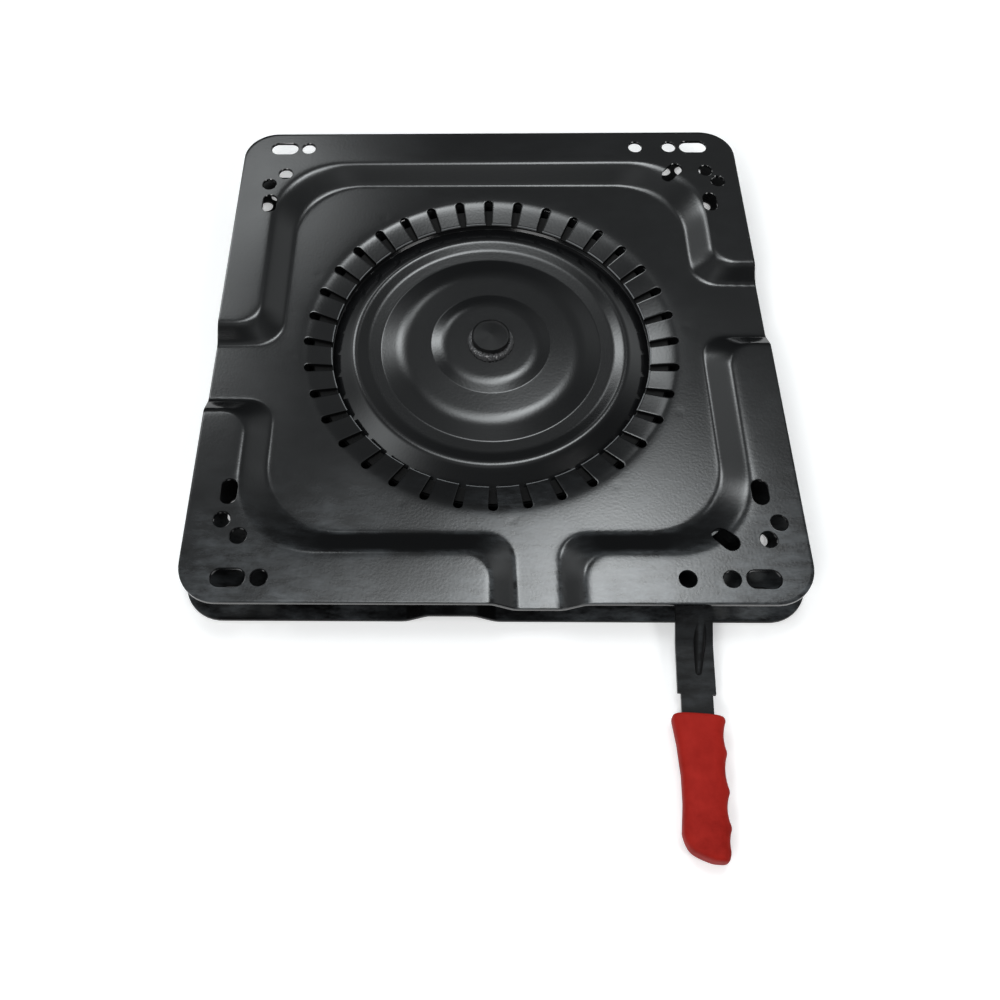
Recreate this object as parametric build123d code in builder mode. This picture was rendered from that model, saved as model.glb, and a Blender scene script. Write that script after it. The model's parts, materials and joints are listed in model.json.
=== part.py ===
"""Swivel seat base: two pressed square plates turning on a dished disc, with a locking lever.

Millimetres, +Z up. The origin is on the swivel axis, in the plane that the lower plate's pads rest on.
The lever comes out of the front, towards -Y.
"""

from build123d import *
import math
import os

# Pressed plates
plate_w = 365.0
plate_d = 372.0
plate_corner_r = 24.0
sheet_t = 2.5
pad_height = 8.0
field_gap = 7.0

# Pressed field inside the pads, from the plate's edges, and its three channels
side_pad_w = 28.0
end_pad_w = 31.5
wall_run = 15.0
field_corner_r = 48.0
pad_corner_r = 50.0
channel_shift = 25.0
side_channel_floor = 22.0
side_channel_top = 33.5
front_channel_floor = 13.5
front_channel_top = 26.0
floor_mouth_r = 16.0
top_mouth_r = 18.0
channel_overrun = 12.0
crest_r = 7.0
foot_r = 6.0
pad_half_x = plate_w / 2 - side_pad_w
pad_half_y = plate_d / 2 - end_pad_w
field_half_x = pad_half_x - wall_run
field_half_y = pad_half_y - wall_run
swivel_r = min(field_half_x, field_half_y)

# Holes in the pads, from the plate's edges
slot_inset_x = 29.5
slot_inset_y = 15.0
slot_len = 20.0
slot_w = 11.0
hole_d = 10.0
inner_hole_step = 18.0
extra_hole_step = 43.0
side_slot_inset_x = 23.5
side_slot_inset_y = 70.0
side_slot_len = 16.5
diagonal_slot_inset_y = 40.0
diagonal_slot_len = 17.0
left_hole_insets = ((32.5, 41.0), (21.5, 51.4))
right_hole_insets = ((23.0, 39.4), (15.3, 50.0))
slot_x = plate_w / 2 - slot_inset_x
slot_y = plate_d / 2 - slot_inset_y
inner_hole_x = slot_x - inner_hole_step
extra_hole_x = slot_x - extra_hole_step
side_slot_x = plate_w / 2 - side_slot_inset_x
side_slot_y = plate_d / 2 - side_slot_inset_y
diagonal_slot_y = plate_d / 2 - diagonal_slot_inset_y

# Castellated ring of folded tabs
ring_margin = 9.5
ring_flange_w = 7.0
tab_run = 17.0
ring_drop = 5.0
ring_fold_r = 20.0
tab_count = 36
tab_slot_setback = 1.1
tab_slot_outer_w = 5.2
tab_slot_inner_w = 3.2
ring_joint_r = swivel_r - ring_margin
ring_bend_r = ring_joint_r - ring_flange_w
ring_inner_r = ring_bend_r - tab_run
tab_slot_r = ring_bend_r - tab_slot_setback

# Disc, bearing rings and pin
disc_t = 2.5
glide_t = 1.2
retainer_t = 2.0
run_gap = 0.25
rim_setback = 4.0
seat_setback = 3.0
seat_w = 3.0
shoulder_run = 10.6
valley_share = 0.822
step_share = 0.66
boss_foot_share = 0.444
boss_share = 0.347
boss_drop = 1.0
boss_foot_drop = 2.8
step_drop = 3.0
valley_drop = 6.6
shoulder_drop = 4.0
disc_bend_radii = (14.0, 4.0, 22.0, 4.0, 9.0, 1.0, 1.0)
glide_setback = 1.0
retainer_setback = 0.5
rim_clearance = 2.5
retainer_wall_run = 4.0
retainer_flange_w = 14.5
retainer_bend_radii = (2.0, 2.5, 2.5)
skirt_gap = 0.8
notch_count = 4
notch_w = 13.0
notch_roof = 0.3
well_floor_gap = 0.5
plateau_margin = 1.5
plateau_wall_run = 1.5
well_floor_setback = 0.5
well_wall_run = 9.0
well_flange_w = 6.0
well_bend_radii = (2.0, 1.0, 4.0, 5.0)
pin_r = 12.5
pin_fit = 0.1
pin_below_pads = 0.5
pin_foot_r = 18.0
pin_foot_h = 3.0
pin_chamfer = 0.6
weld_w = 3.0
weld_h = 2.6
disc_rim_r = ring_bend_r - rim_setback
seat_outer_r = ring_inner_r - seat_setback
seat_inner_r = seat_outer_r - seat_w
shoulder_r = seat_inner_r - shoulder_run
valley_r = valley_share * shoulder_r
step_r = step_share * shoulder_r
boss_foot_r = boss_foot_share * shoulder_r
boss_r = boss_share * shoulder_r
glide_inner_r = ring_inner_r + glide_setback
glide_outer_r = disc_rim_r - glide_setback
retainer_inner_r = glide_inner_r + retainer_setback
retainer_bend_r = disc_rim_r + rim_clearance
retainer_wall_r = retainer_bend_r + retainer_wall_run
skirt_r = retainer_wall_r + retainer_flange_w
plateau_r = seat_outer_r + plateau_margin
plateau_foot_r = plateau_r + plateau_wall_run
well_floor_r = retainer_bend_r - well_floor_setback
well_wall_r = well_floor_r + well_wall_run
well_joint_r = well_wall_r + well_flange_w

# Lever, reaching forward from its pivot past the plate's front edge
pivot_inset_x = 21.5
pivot_inset_y = 23.5
lever_yaw = -3.6
lever_t = 3.0
lever_w = 21.0
eye_r = 12.0
tang_w = 17.4
tang_len = 56.0
shoulder_past_edge = 43.7
grip_past_edge = 56.0
crank_past_edge = 2.0
crank_run = 14.0
crank_drop = 5.1
crank_r = 10.0
bead_start_x = 5.0
bead_inside_edge = 8.0
bead_start_r = 5.5
bead_start_rise = 1.2
bead_end_x = 1.5
bead_past_edge = 32.0
bead_end_r = 2.0
bead_end_rise = 1.0
bead_sink = 1.0
tooth_angle = -30.0
tooth_w = 9.0
tooth_gap = 0.7
notch_lead = -0.5
arm_w = 10.0
arm_clearance = 11.5
ear_x = -24.0
ear_y = -3.0
ear_r = 5.5
washer_t = 1.0
top_washer_t = 0.8
washer_r = 9.5
washer_gap = 0.1
rivet_r = 5.0
rivet_fit = 0.05
rivet_head_r = 8.0
rivet_head_t = 1.4
pivot_x = field_half_x - pivot_inset_x
pivot_y = pivot_inset_y - field_half_y
edge_reach = plate_d / 2 + pivot_y
shoulder_reach = edge_reach + shoulder_past_edge
grip_reach = edge_reach + grip_past_edge
tang_tip = grip_reach + tang_len
crank_start = edge_reach + crank_past_edge
crank_end = crank_start + crank_run
bead_start_reach = edge_reach - bead_inside_edge
bead_end_reach = edge_reach + bead_past_edge
arm_r = skirt_r + arm_clearance

# Grip: half widths and distances from its start, for the finger side and for the palm side
grip_len = 72.5
grip_t = 15.0
grip_collar = 14.5
grip_collar_len = 2.5
finger_bumps = ((grip_collar, grip_collar_len), (14.3, 19.0), (14.4, 38.5), (14.1, 56.0), (12.7, 66.5))
groove_depths = (1.6, 1.9, 2.0, 0.8)
palm_hollow = (10.6, 31.0)
palm_heel = (11.5, 60.0)
toe_middle = (7.2, 68.4)
toe_x = 1.5
grip_edge_r = 4.5
grip_corner_r = 5.0
tang_fit = 0.1

# Spring, post, guide
spring_r = 2.5
spring_wire_r = 0.6
spring_start = 7.0
post_inside_edge = 17.0
spring_end_gap = 9.0
spring_overlap = 0.5
hook_bend_r = 0.7
post_r = 3.0
post_neck_r = 2.0
post_cap_h = 1.2
hook_lift = 1.0
hook_tail = 0.4
guide_inset = 20.6
guide_len = 8.0
guide_t = 2.0
guide_bend_r = 1.5
ear_gap = 0.5
lever_swing = 6.2
guide_rivet_r = 2.0
guide_rivet_head_r = 3.6
guide_rivet_head_t = 1.5
post_reach = edge_reach - post_inside_edge
guide_y0 = guide_inset - plate_d / 2
guide_y1 = guide_y0 + guide_len

# Heights worked out from the sizes above
lower_field_z = pad_height + sheet_t
upper_field_z = lower_field_z + field_gap + sheet_t
total_h = upper_field_z + pad_height
well_floor_z = well_floor_gap + sheet_t
lever_z = lower_field_z + washer_t + washer_gap
lever_top_z = lever_z + lever_t
fold_slope = ring_drop / (ring_bend_r - ring_inner_r)
fold_cos = math.cos(math.atan(fold_slope))
disc_depth = sheet_t + glide_t + 2 * run_gap
seat_z = upper_field_z - ring_drop + (seat_outer_r - ring_inner_r) * fold_slope - disc_depth / fold_cos
plateau_z = seat_z - disc_t
lever_plane = Plane(
    origin=(pivot_x, pivot_y, 0),
    x_dir=(math.cos(math.radians(lever_yaw)), math.sin(math.radians(lever_yaw)), 0),
    z_dir=(0, 0, 1),
)


def cone_z(r, depth):
    """Height, at radius r, of the surface that lies depth below the top of the folded tabs."""
    return upper_field_z - ring_drop + (r - ring_inner_r) * fold_slope - depth / fold_cos


def field_points(half_x, half_y, side_half, front_half):
    """Corners of the pressed field's outline, with its three channels run out past the plate's edges."""
    out_x = plate_w / 2 + channel_overrun
    out_y = plate_d / 2 + channel_overrun
    return [
        (channel_shift + front_half, -out_y),
        (channel_shift + front_half, -half_y),
        (half_x, -half_y),
        (half_x, channel_shift - side_half),
        (out_x, channel_shift - side_half),
        (out_x, channel_shift + side_half),
        (half_x, channel_shift + side_half),
        (half_x, half_y),
        (-half_x, half_y),
        (-half_x, -channel_shift + side_half),
        (-out_x, -channel_shift + side_half),
        (-out_x, -channel_shift - side_half),
        (-half_x, -channel_shift - side_half),
        (-half_x, -half_y),
        (channel_shift - front_half, -half_y),
        (channel_shift - front_half, -out_y),
    ]


def field_radii(corner_r, mouth_r):
    """Fillet radii in the order of field_points: outer ends sharp, channel mouths and corners round."""
    return [
        0, mouth_r, corner_r, mouth_r, 0, 0, mouth_r, corner_r,
        corner_r, mouth_r, 0, 0, mouth_r, corner_r, mouth_r, 0,
    ]


def inner_edges(faces, width, depth):
    """Those edges of the faces that don't lie on the sides of a centred width by depth rectangle."""
    middles = [(edge, edge.position_at(0.5)) for edge in faces.edges()]
    return [
        edge
        for edge, middle in middles
        if abs(middle.X) < width / 2 - 0.1 and abs(middle.Y) < depth / 2 - 0.1
    ]


def press_form(floor_z):
    """The pressing's upper side as the top of a solid block, with its bends rounded.

    The pocket above the field is a loft from the field's floor up to the pads' level.
    """
    with BuildPart() as pocket:
        with BuildSketch(Plane.XY.offset(floor_z)):
            with BuildLine():
                FilletPolyline(
                    *field_points(field_half_x, field_half_y, side_channel_floor, front_channel_floor),
                    radius=field_radii(field_corner_r, floor_mouth_r),
                    close=True,
                )
            make_face()
        with BuildSketch(Plane.XY.offset(floor_z + pad_height)):
            with BuildLine():
                FilletPolyline(
                    *field_points(pad_half_x, pad_half_y, side_channel_top, front_channel_top),
                    radius=field_radii(pad_corner_r, top_mouth_r),
                    close=True,
                )
            make_face()
        loft(ruled=True)
        floor_face = pocket.faces().sort_by(Axis.Z)[0]
        fillet(inner_edges(floor_face, plate_w + 2 * channel_overrun, plate_d + 2 * channel_overrun), foot_r)
    block_w = plate_w + channel_overrun
    block_d = plate_d + channel_overrun
    with BuildPart() as form:
        with BuildSketch(Plane.XY.offset(floor_z - 2 * sheet_t)):
            Rectangle(block_w, block_d)
        extrude(amount=pad_height + 2 * sheet_t)
        add(pocket.part, mode=Mode.SUBTRACT)
        pads = form.faces().filter_by(Axis.Z).group_by(Axis.Z)[-1]
        fillet(inner_edges(pads, block_w, block_d), crest_r)
    return form.part


def pressed_plate():
    """One pressing with its pads upwards, its field's top at the upper plate's level, no middle yet."""
    with BuildPart() as pressing:
        add(press_form(upper_field_z))
        add(press_form(upper_field_z - sheet_t), mode=Mode.SUBTRACT)
        with BuildSketch(Plane.XY.offset(upper_field_z - sheet_t)):
            RectangleRounded(plate_w, plate_d, plate_corner_r)
        extrude(amount=pad_height + sheet_t, mode=Mode.INTERSECT)
        with BuildSketch(Plane.XY.offset(total_h)):
            with GridLocations(2 * slot_x, 2 * slot_y, 2, 2):
                SlotOverall(slot_len, slot_w)
            with GridLocations(2 * inner_hole_x, 2 * slot_y, 2, 2):
                Circle(hole_d / 2)
            with GridLocations(2 * side_slot_x, 2 * side_slot_y, 2, 2):
                SlotOverall(side_slot_len, hole_d, rotation=90)
            for side in (1, -1):
                with Locations((extra_hole_x, side * slot_y)):
                    Circle(hole_d / 2)
                with Locations((inner_hole_x, side * diagonal_slot_y)):
                    SlotOverall(diagonal_slot_len, hole_d, rotation=side * 45)
                for inset_x, inset_y in right_hole_insets:
                    with Locations((plate_w / 2 - inset_x, side * (plate_d / 2 - inset_y))):
                        Circle(hole_d / 2)
                for inset_x, inset_y in left_hole_insets:
                    with Locations((inset_x - plate_w / 2, side * (plate_d / 2 - inset_y))):
                        Circle(hole_d / 2)
        extrude(amount=-2 * sheet_t, mode=Mode.SUBTRACT)
    return pressing.part


def turned_sheet(points, radii, thickness):
    """A ring of sheet: the line of its upper side, thickened below it and turned about the axis."""
    with BuildPart() as ring:
        with BuildSketch(Plane.XZ):
            with BuildLine():
                upper = FilletPolyline(*points, radius=radii)
                offset(upper, amount=thickness, side=Side.RIGHT)
            make_face()
        revolve(axis=Axis.Z)
    return ring.part


def cone_ring(inner_r, outer_r, depth, thickness):
    """A ring that follows the slope of the folded tabs, between two depths below their top."""
    with BuildPart() as ring:
        with BuildSketch(Plane.XZ):
            with BuildLine():
                Polyline(
                    (inner_r, cone_z(inner_r, depth)),
                    (outer_r, cone_z(outer_r, depth)),
                    (outer_r, cone_z(outer_r, depth + thickness)),
                    (inner_r, cone_z(inner_r, depth + thickness)),
                    close=True,
                )
            make_face()
        revolve(axis=Axis.Z)
    return ring.part


os.makedirs("parts", exist_ok=True)
plate_blank = pressed_plate()

# Upper plate: the pressing with a ring of tabs folded down over the disc's rim
with BuildPart() as upper_plate:
    add(plate_blank)
    with BuildSketch(Plane.XY.offset(upper_field_z - sheet_t)):
        Circle(ring_joint_r)
    extrude(amount=2 * sheet_t, mode=Mode.SUBTRACT)
    add(turned_sheet(
        [
            (ring_inner_r, upper_field_z - ring_drop),
            (ring_bend_r, upper_field_z),
            (ring_joint_r, upper_field_z),
        ],
        [ring_fold_r],
        sheet_t,
    ))
    with BuildSketch(Plane.XY.offset(upper_field_z)):
        with PolarLocations(0, tab_count):
            with Locations((tab_slot_r, 0)):
                Circle(tab_slot_outer_w / 2)
            Polygon(
                (ring_inner_r - sheet_t, -tab_slot_inner_w / 2),
                (tab_slot_r, -tab_slot_outer_w / 2),
                (tab_slot_r, tab_slot_outer_w / 2),
                (ring_inner_r - sheet_t, tab_slot_inner_w / 2),
                align=None,
            )
    extrude(amount=-(ring_drop + 2 * sheet_t), mode=Mode.SUBTRACT)
upper_plate.part.label = "upper_plate"
export_step(upper_plate.part, "parts/upper_plate.step")

# Lower plate: the same pressing turned over, with a round well and a plateau that the disc seats on
guide_x0 = pivot_x + (guide_y0 - pivot_y) * -math.tan(math.radians(lever_yaw)) - lever_w / 2 - ear_gap
guide_x1 = guide_x0 + lever_w + 2 * ear_gap + (pivot_y - guide_y0) * math.radians(lever_swing)
guide_rivet_x = (guide_x0 + guide_x1) / 2
guide_rivet_y = (guide_y0 + guide_y1) / 2
guide_rivet_pitch = (guide_x1 - guide_x0) / 2
with BuildPart() as lower_plate:
    add(plate_blank.rotate(Axis.Y, 180).translate((0, 0, total_h)))
    with BuildSketch(Plane.XY.offset(lower_field_z)):
        Circle(well_joint_r)
    extrude(amount=-2 * sheet_t, mode=Mode.SUBTRACT)
    add(turned_sheet(
        [
            (pin_r + pin_fit, plateau_z),
            (plateau_r, plateau_z),
            (plateau_foot_r, well_floor_z),
            (well_floor_r, well_floor_z),
            (well_wall_r, lower_field_z),
            (well_joint_r, lower_field_z),
        ],
        well_bend_radii,
        sheet_t,
    ))
    with BuildSketch(Plane.XY.offset(sheet_t)):
        with Locations((guide_rivet_x, guide_rivet_y)):
            with GridLocations(guide_rivet_pitch, 1, 2, 1):
                Circle(guide_rivet_r + rivet_fit)
    extrude(amount=-sheet_t, mode=Mode.SUBTRACT)
    with BuildSketch(Plane.XY.offset(lower_field_z)):
        with Locations((pivot_x, pivot_y)):
            Circle(rivet_r + rivet_fit)
    extrude(amount=-2 * sheet_t, mode=Mode.SUBTRACT)
lower_plate.part.label = "lower_plate"
export_step(lower_plate.part, "parts/lower_plate.step")

# Dished disc: boss, two steps, a shoulder, a flat ring that seats on the plateau, and the sloped rim
with BuildPart() as swivel_disc:
    add(turned_sheet(
        [
            (pin_r + pin_fit, upper_field_z - boss_drop),
            (boss_r, upper_field_z - boss_drop),
            (boss_foot_r, upper_field_z - boss_foot_drop),
            (step_r, upper_field_z - step_drop),
            (valley_r, upper_field_z - valley_drop),
            (shoulder_r, upper_field_z - shoulder_drop),
            (seat_inner_r, seat_z),
            (seat_outer_r, seat_z),
            (disc_rim_r, cone_z(disc_rim_r, disc_depth)),
        ],
        disc_bend_radii,
        disc_t,
    ))
swivel_disc.part.label = "swivel_disc"
export_step(swivel_disc.part, "parts/swivel_disc.step")

# Plastic glide rings above and below the disc's rim
upper_glide_depth = sheet_t + run_gap
lower_glide_depth = disc_depth + disc_t + run_gap
with BuildPart() as upper_glide_ring:
    add(cone_ring(glide_inner_r, glide_outer_r, upper_glide_depth, glide_t))
upper_glide_ring.part.label = "upper_glide_ring"
export_step(upper_glide_ring.part, "parts/upper_glide_ring.step")

with BuildPart() as lower_glide_ring:
    add(cone_ring(glide_inner_r, glide_outer_r, lower_glide_depth, glide_t))
lower_glide_ring.part.label = "lower_glide_ring"
export_step(lower_glide_ring.part, "parts/lower_glide_ring.step")

# Retaining ring: welded under the upper plate, cupped under the disc's rim, with a notched skirt
retainer_depth = lower_glide_depth + glide_t + run_gap
retainer_top_z = upper_field_z - sheet_t
skirt_z = lower_field_z + skirt_gap
notch_h = retainer_top_z - retainer_t - notch_roof - skirt_z
with BuildPart() as retaining_ring:
    add(turned_sheet(
        [
            (retainer_inner_r, cone_z(retainer_inner_r, retainer_depth)),
            (retainer_bend_r, cone_z(retainer_bend_r, retainer_depth)),
            (retainer_wall_r, retainer_top_z),
            (skirt_r, retainer_top_z),
            (skirt_r, skirt_z),
        ],
        retainer_bend_radii,
        retainer_t,
    ))
    with BuildSketch(Plane.XY.offset(skirt_z)):
        with PolarLocations(skirt_r - retainer_t / 2, notch_count, start_angle=tooth_angle + notch_lead):
            Rectangle(4 * retainer_t, notch_w)
    extrude(amount=notch_h, mode=Mode.SUBTRACT)
retaining_ring.part.label = "retaining_ring"
export_step(retaining_ring.part, "parts/retaining_ring.step")

# Centre pin: footed stub through the disc, with its weld collar on the disc's boss
boss_z = upper_field_z - boss_drop
with BuildPart() as center_pin:
    with BuildSketch(Plane.XZ):
        with BuildLine():
            Polyline(
                (0, plateau_z - sheet_t),
                (pin_r, plateau_z - sheet_t),
                (pin_r, plateau_z),
                (pin_foot_r, plateau_z),
                (pin_foot_r, plateau_z + pin_foot_h),
                (pin_r, plateau_z + pin_foot_h),
                (pin_r, boss_z),
                (pin_r + weld_w, boss_z),
                (pin_r, boss_z + weld_h),
                (pin_r, total_h - pin_below_pads),
                (0, total_h - pin_below_pads),
                close=True,
            )
        make_face()
    revolve(axis=Axis.Z)
    chamfer(center_pin.edges().filter_by(GeomType.CIRCLE).sort_by(Axis.Z)[-1], pin_chamfer)
center_pin.part.label = "center_pin"
export_step(center_pin.part, "parts/center_pin.step")

# Lever: a cranked strip cut to its plan outline, with a lock tooth, a spring ear and a bead on its crank
tooth_root = lever_plane.to_local_coords(Vector(arm_r, 0, 0).rotate(Axis.Z, tooth_angle))
tooth_mid = lever_plane.to_local_coords(
    Vector((arm_r + skirt_r + tooth_gap) / 2, 0, 0).rotate(Axis.Z, tooth_angle)
)
tooth_len = arm_r - skirt_r - tooth_gap
arm_angle = math.degrees(math.atan2(tooth_root.Y, tooth_root.X))
arm_len = math.hypot(tooth_root.X, tooth_root.Y)


def crank_line(lift):
    """Corners of the cranked strip's upper side, seen from its edge, raised by lift."""
    return [
        (arm_r, lever_top_z + lift),
        (-crank_start, lever_top_z + lift),
        (-crank_end, lever_top_z - crank_drop + lift),
        (-tang_tip, lever_top_z - crank_drop + lift),
    ]


side_plane = Plane(origin=lever_plane.origin, x_dir=lever_plane.y_dir, z_dir=lever_plane.x_dir)
with BuildPart() as lock_lever:
    with BuildSketch(side_plane):
        with BuildLine():
            strip = FilletPolyline(*crank_line(0), radius=crank_r)
            offset(strip, amount=lever_t, side=Side.LEFT)
        make_face()
    extrude(amount=arm_r, both=True)
    with BuildSketch(lever_plane):
        Circle(eye_r)
        with Locations((0, -shoulder_reach / 2)):
            Rectangle(lever_w, shoulder_reach)
        with Locations((0, -tang_tip / 2)):
            Rectangle(tang_w, tang_tip)
        with Locations((ear_x, ear_y)):
            Circle(ear_r)
        with Locations((ear_x / 2, ear_y / 2)):
            Rectangle(-ear_x, 2 * ear_r - 1)
        with Locations((tooth_root.X / 2, tooth_root.Y / 2)):
            Rectangle(arm_len, arm_w, rotation=arm_angle)
        with Locations((tooth_root.X, tooth_root.Y)):
            Circle(arm_w / 2)
        with Locations((tooth_mid.X, tooth_mid.Y)):
            Rectangle(tooth_len, tooth_w, rotation=tooth_angle - lever_yaw)
        Circle(rivet_r + rivet_fit, mode=Mode.SUBTRACT)
        with Locations((ear_x, ear_y)):
            Circle(2 * spring_wire_r, mode=Mode.SUBTRACT)
    extrude(amount=total_h, mode=Mode.INTERSECT)
bead_from = lever_plane.from_local_coords(
    Vector(bead_start_x, -bead_start_reach, lever_top_z + bead_start_rise - bead_start_r)
)
bead_to = lever_plane.from_local_coords(
    Vector(bead_end_x, -bead_end_reach, lever_top_z - crank_drop + bead_end_rise - bead_end_r)
)
with BuildPart() as bead:
    with BuildSketch(Plane(origin=bead_from, z_dir=bead_to - bead_from)):
        Circle(bead_start_r)
    with BuildSketch(Plane(origin=bead_to, z_dir=bead_to - bead_from)):
        Circle(bead_end_r)
    loft()
    with Locations(bead_to):
        Sphere(bead_end_r)
    with BuildSketch(side_plane):
        with BuildLine():
            inside = FilletPolyline(*crank_line(-bead_sink), radius=crank_r)
            Polyline(inside @ 1, (-tang_tip, total_h), (arm_r, total_h), inside @ 0)
        make_face()
    extrude(amount=lever_w, both=True, mode=Mode.INTERSECT)
with BuildPart() as beaded_lever:
    add(lock_lever.part)
    add(bead.part)
beaded_lever.part.label = "lock_lever"
export_step(beaded_lever.part, "parts/lock_lever.step")

# Grip: finger grooves along one side, a flared collar, and a pocket for the lever's tang
grip_mid_z = lever_top_z - crank_drop - lever_t / 2
with BuildPart() as lever_grip:
    with BuildSketch(lever_plane.offset(grip_mid_z - grip_t / 2)) as grip_face:
        with BuildLine(Location((0, -grip_reach))):
            Line((-grip_collar, 0), (grip_collar, 0))
            Line((grip_collar, 0), (grip_collar, -grip_collar_len))
            for (x0, y0), (x1, y1), depth in zip(finger_bumps, finger_bumps[1:], groove_depths):
                ThreePointArc((x0, -y0), ((x0 + x1) / 2 - depth, -(y0 + y1) / 2), (x1, -y1))
            end_x, end_y = finger_bumps[-1]
            Polyline((end_x, -end_y), (end_x, -grip_len), (toe_x, -grip_len))
            ThreePointArc(
                (toe_x, -grip_len),
                (-toe_middle[0], -toe_middle[1]),
                (-palm_heel[0], -palm_heel[1]),
            )
            ThreePointArc(
                (-palm_heel[0], -palm_heel[1]),
                (-palm_hollow[0], -palm_hollow[1]),
                (-grip_collar, -grip_collar_len),
            )
            Line((-grip_collar, -grip_collar_len), (-grip_collar, 0))
        make_face()
        fillet(grip_face.vertices().sort_by(Axis.Y)[:-2], grip_corner_r)
    extrude(amount=grip_t)
    grip_ends = lever_grip.faces().filter_by(Axis.Z)
    start_face = lever_grip.faces().sort_by(Axis.Y)[-1]
    fillet(
        [edge for edge in grip_ends.edges() if edge not in start_face.edges()],
        grip_edge_r,
    )
    with BuildSketch(lever_plane.offset(grip_mid_z - lever_t / 2 - tang_fit)):
        with Locations((0, -(grip_reach + tang_tip + tang_fit) / 2)):
            Rectangle(tang_w + 2 * tang_fit, tang_tip + tang_fit - grip_reach)
    extrude(amount=lever_t + 2 * tang_fit, mode=Mode.SUBTRACT)
lever_grip.part.label = "lever_grip"
export_step(lever_grip.part, "parts/lever_grip.step")

# Pivot: shouldered rivet from under the lower plate, with a washer each side of the lever
with BuildPart() as pivot_washer_lower:
    with BuildSketch(lever_plane.offset(lower_field_z)):
        Circle(washer_r)
        Circle(rivet_r + rivet_fit, mode=Mode.SUBTRACT)
    extrude(amount=washer_t)
pivot_washer_lower.part.label = "pivot_washer_lower"
export_step(pivot_washer_lower.part, "parts/pivot_washer_lower.step")

top_washer_z = lever_top_z + washer_gap
with BuildPart() as pivot_washer_upper:
    with BuildSketch(lever_plane.offset(top_washer_z)):
        Circle(washer_r)
        Circle(rivet_r + rivet_fit, mode=Mode.SUBTRACT)
    extrude(amount=top_washer_t)
pivot_washer_upper.part.label = "pivot_washer_upper"
export_step(pivot_washer_upper.part, "parts/pivot_washer_upper.step")

rivet_head_z = top_washer_z + top_washer_t
with BuildPart() as lever_pivot_rivet:
    with BuildSketch(lever_plane.offset(pad_height)):
        Circle(rivet_r)
    extrude(amount=rivet_head_z - pad_height)
    with BuildSketch(lever_plane.offset(rivet_head_z)):
        Circle(rivet_head_r)
    extrude(amount=rivet_head_t)
    with BuildSketch(lever_plane.offset(pad_height)):
        Circle(rivet_head_r)
    extrude(amount=-rivet_head_t)
    fillet(lever_pivot_rivet.edges().filter_by(GeomType.CIRCLE).sort_by(Axis.Z)[-1], rivet_head_t / 2)
lever_pivot_rivet.part.label = "lever_pivot_rivet"
export_step(lever_pivot_rivet.part, "parts/lever_pivot_rivet.step")

# Spring post: a necked stud on the lower plate's front pad
spring_z = lever_z + lever_t / 2
with BuildPart() as spring_post:
    with BuildSketch(lever_plane.offset(sheet_t)):
        with Locations((ear_x, ear_y - post_reach)):
            Circle(post_r)
    extrude(amount=spring_z + 2 * spring_wire_r + post_cap_h - sheet_t)
    with BuildSketch(lever_plane.offset(spring_z - 2 * spring_wire_r)):
        with Locations((ear_x, ear_y - post_reach)):
            Circle(post_r + 1)
            Circle(post_neck_r, mode=Mode.SUBTRACT)
    extrude(amount=4 * spring_wire_r, mode=Mode.SUBTRACT)
spring_post.part.label = "spring_post"
export_step(spring_post.part, "parts/spring_post.step")

# Tension spring: its coil as a plain tube, a hook over the lever's ear and a loop round the post
coil_start = ear_y - spring_start
coil_end = ear_y - post_reach + spring_end_gap
hook_z = lever_top_z + spring_wire_r + hook_lift / 2
loop_r = post_neck_r + spring_wire_r + run_gap
spring_plane = Plane(
    origin=lever_plane.from_local_coords(Vector(ear_x, 0, 0)),
    x_dir=lever_plane.y_dir,
    z_dir=lever_plane.x_dir,
)
with BuildPart() as lever_spring:
    with BuildSketch(Plane(
        origin=lever_plane.from_local_coords(Vector(ear_x, coil_end, spring_z)), z_dir=lever_plane.y_dir
    )):
        Circle(spring_r)
        Circle(spring_r - 2 * spring_wire_r, mode=Mode.SUBTRACT)
    extrude(amount=coil_start - coil_end)
    with BuildLine(spring_plane) as hook:
        FilletPolyline(
            (coil_start + spring_overlap, spring_z + spring_r - spring_wire_r - hook_tail),
            (coil_start + spring_overlap, hook_z),
            (ear_y, hook_z),
            (ear_y, lever_z + hook_tail),
            radius=hook_bend_r,
        )
    with BuildSketch(Plane(origin=hook.line @ 0, z_dir=hook.line % 0)):
        Circle(spring_wire_r)
    sweep(path=hook.line)
    with BuildSketch(Plane(
        origin=lever_plane.from_local_coords(Vector(ear_x, coil_end + spring_overlap, spring_z)),
        z_dir=-lever_plane.y_dir,
    )):
        Rectangle(2 * spring_wire_r, 2 * (spring_r - spring_wire_r))
    extrude(amount=2 * spring_overlap)
    with BuildSketch(Plane(
        origin=lever_plane.from_local_coords(Vector(ear_x, coil_end, spring_z)), z_dir=-lever_plane.y_dir
    )):
        Circle(spring_wire_r)
    extrude(amount=spring_end_gap - loop_r)
    with BuildSketch(Plane(
        origin=lever_plane.from_local_coords(Vector(ear_x, ear_y - post_reach, spring_z)),
        x_dir=lever_plane.y_dir,
        z_dir=lever_plane.x_dir,
    )):
        with Locations((loop_r, 0)):
            Circle(spring_wire_r)
    revolve(axis=Axis(
        lever_plane.from_local_coords(Vector(ear_x, ear_y - post_reach, spring_z)), (0, 0, 1)
    ))
lever_spring.part.label = "lever_spring"
export_step(lever_spring.part, "parts/lever_spring.step")

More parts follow.
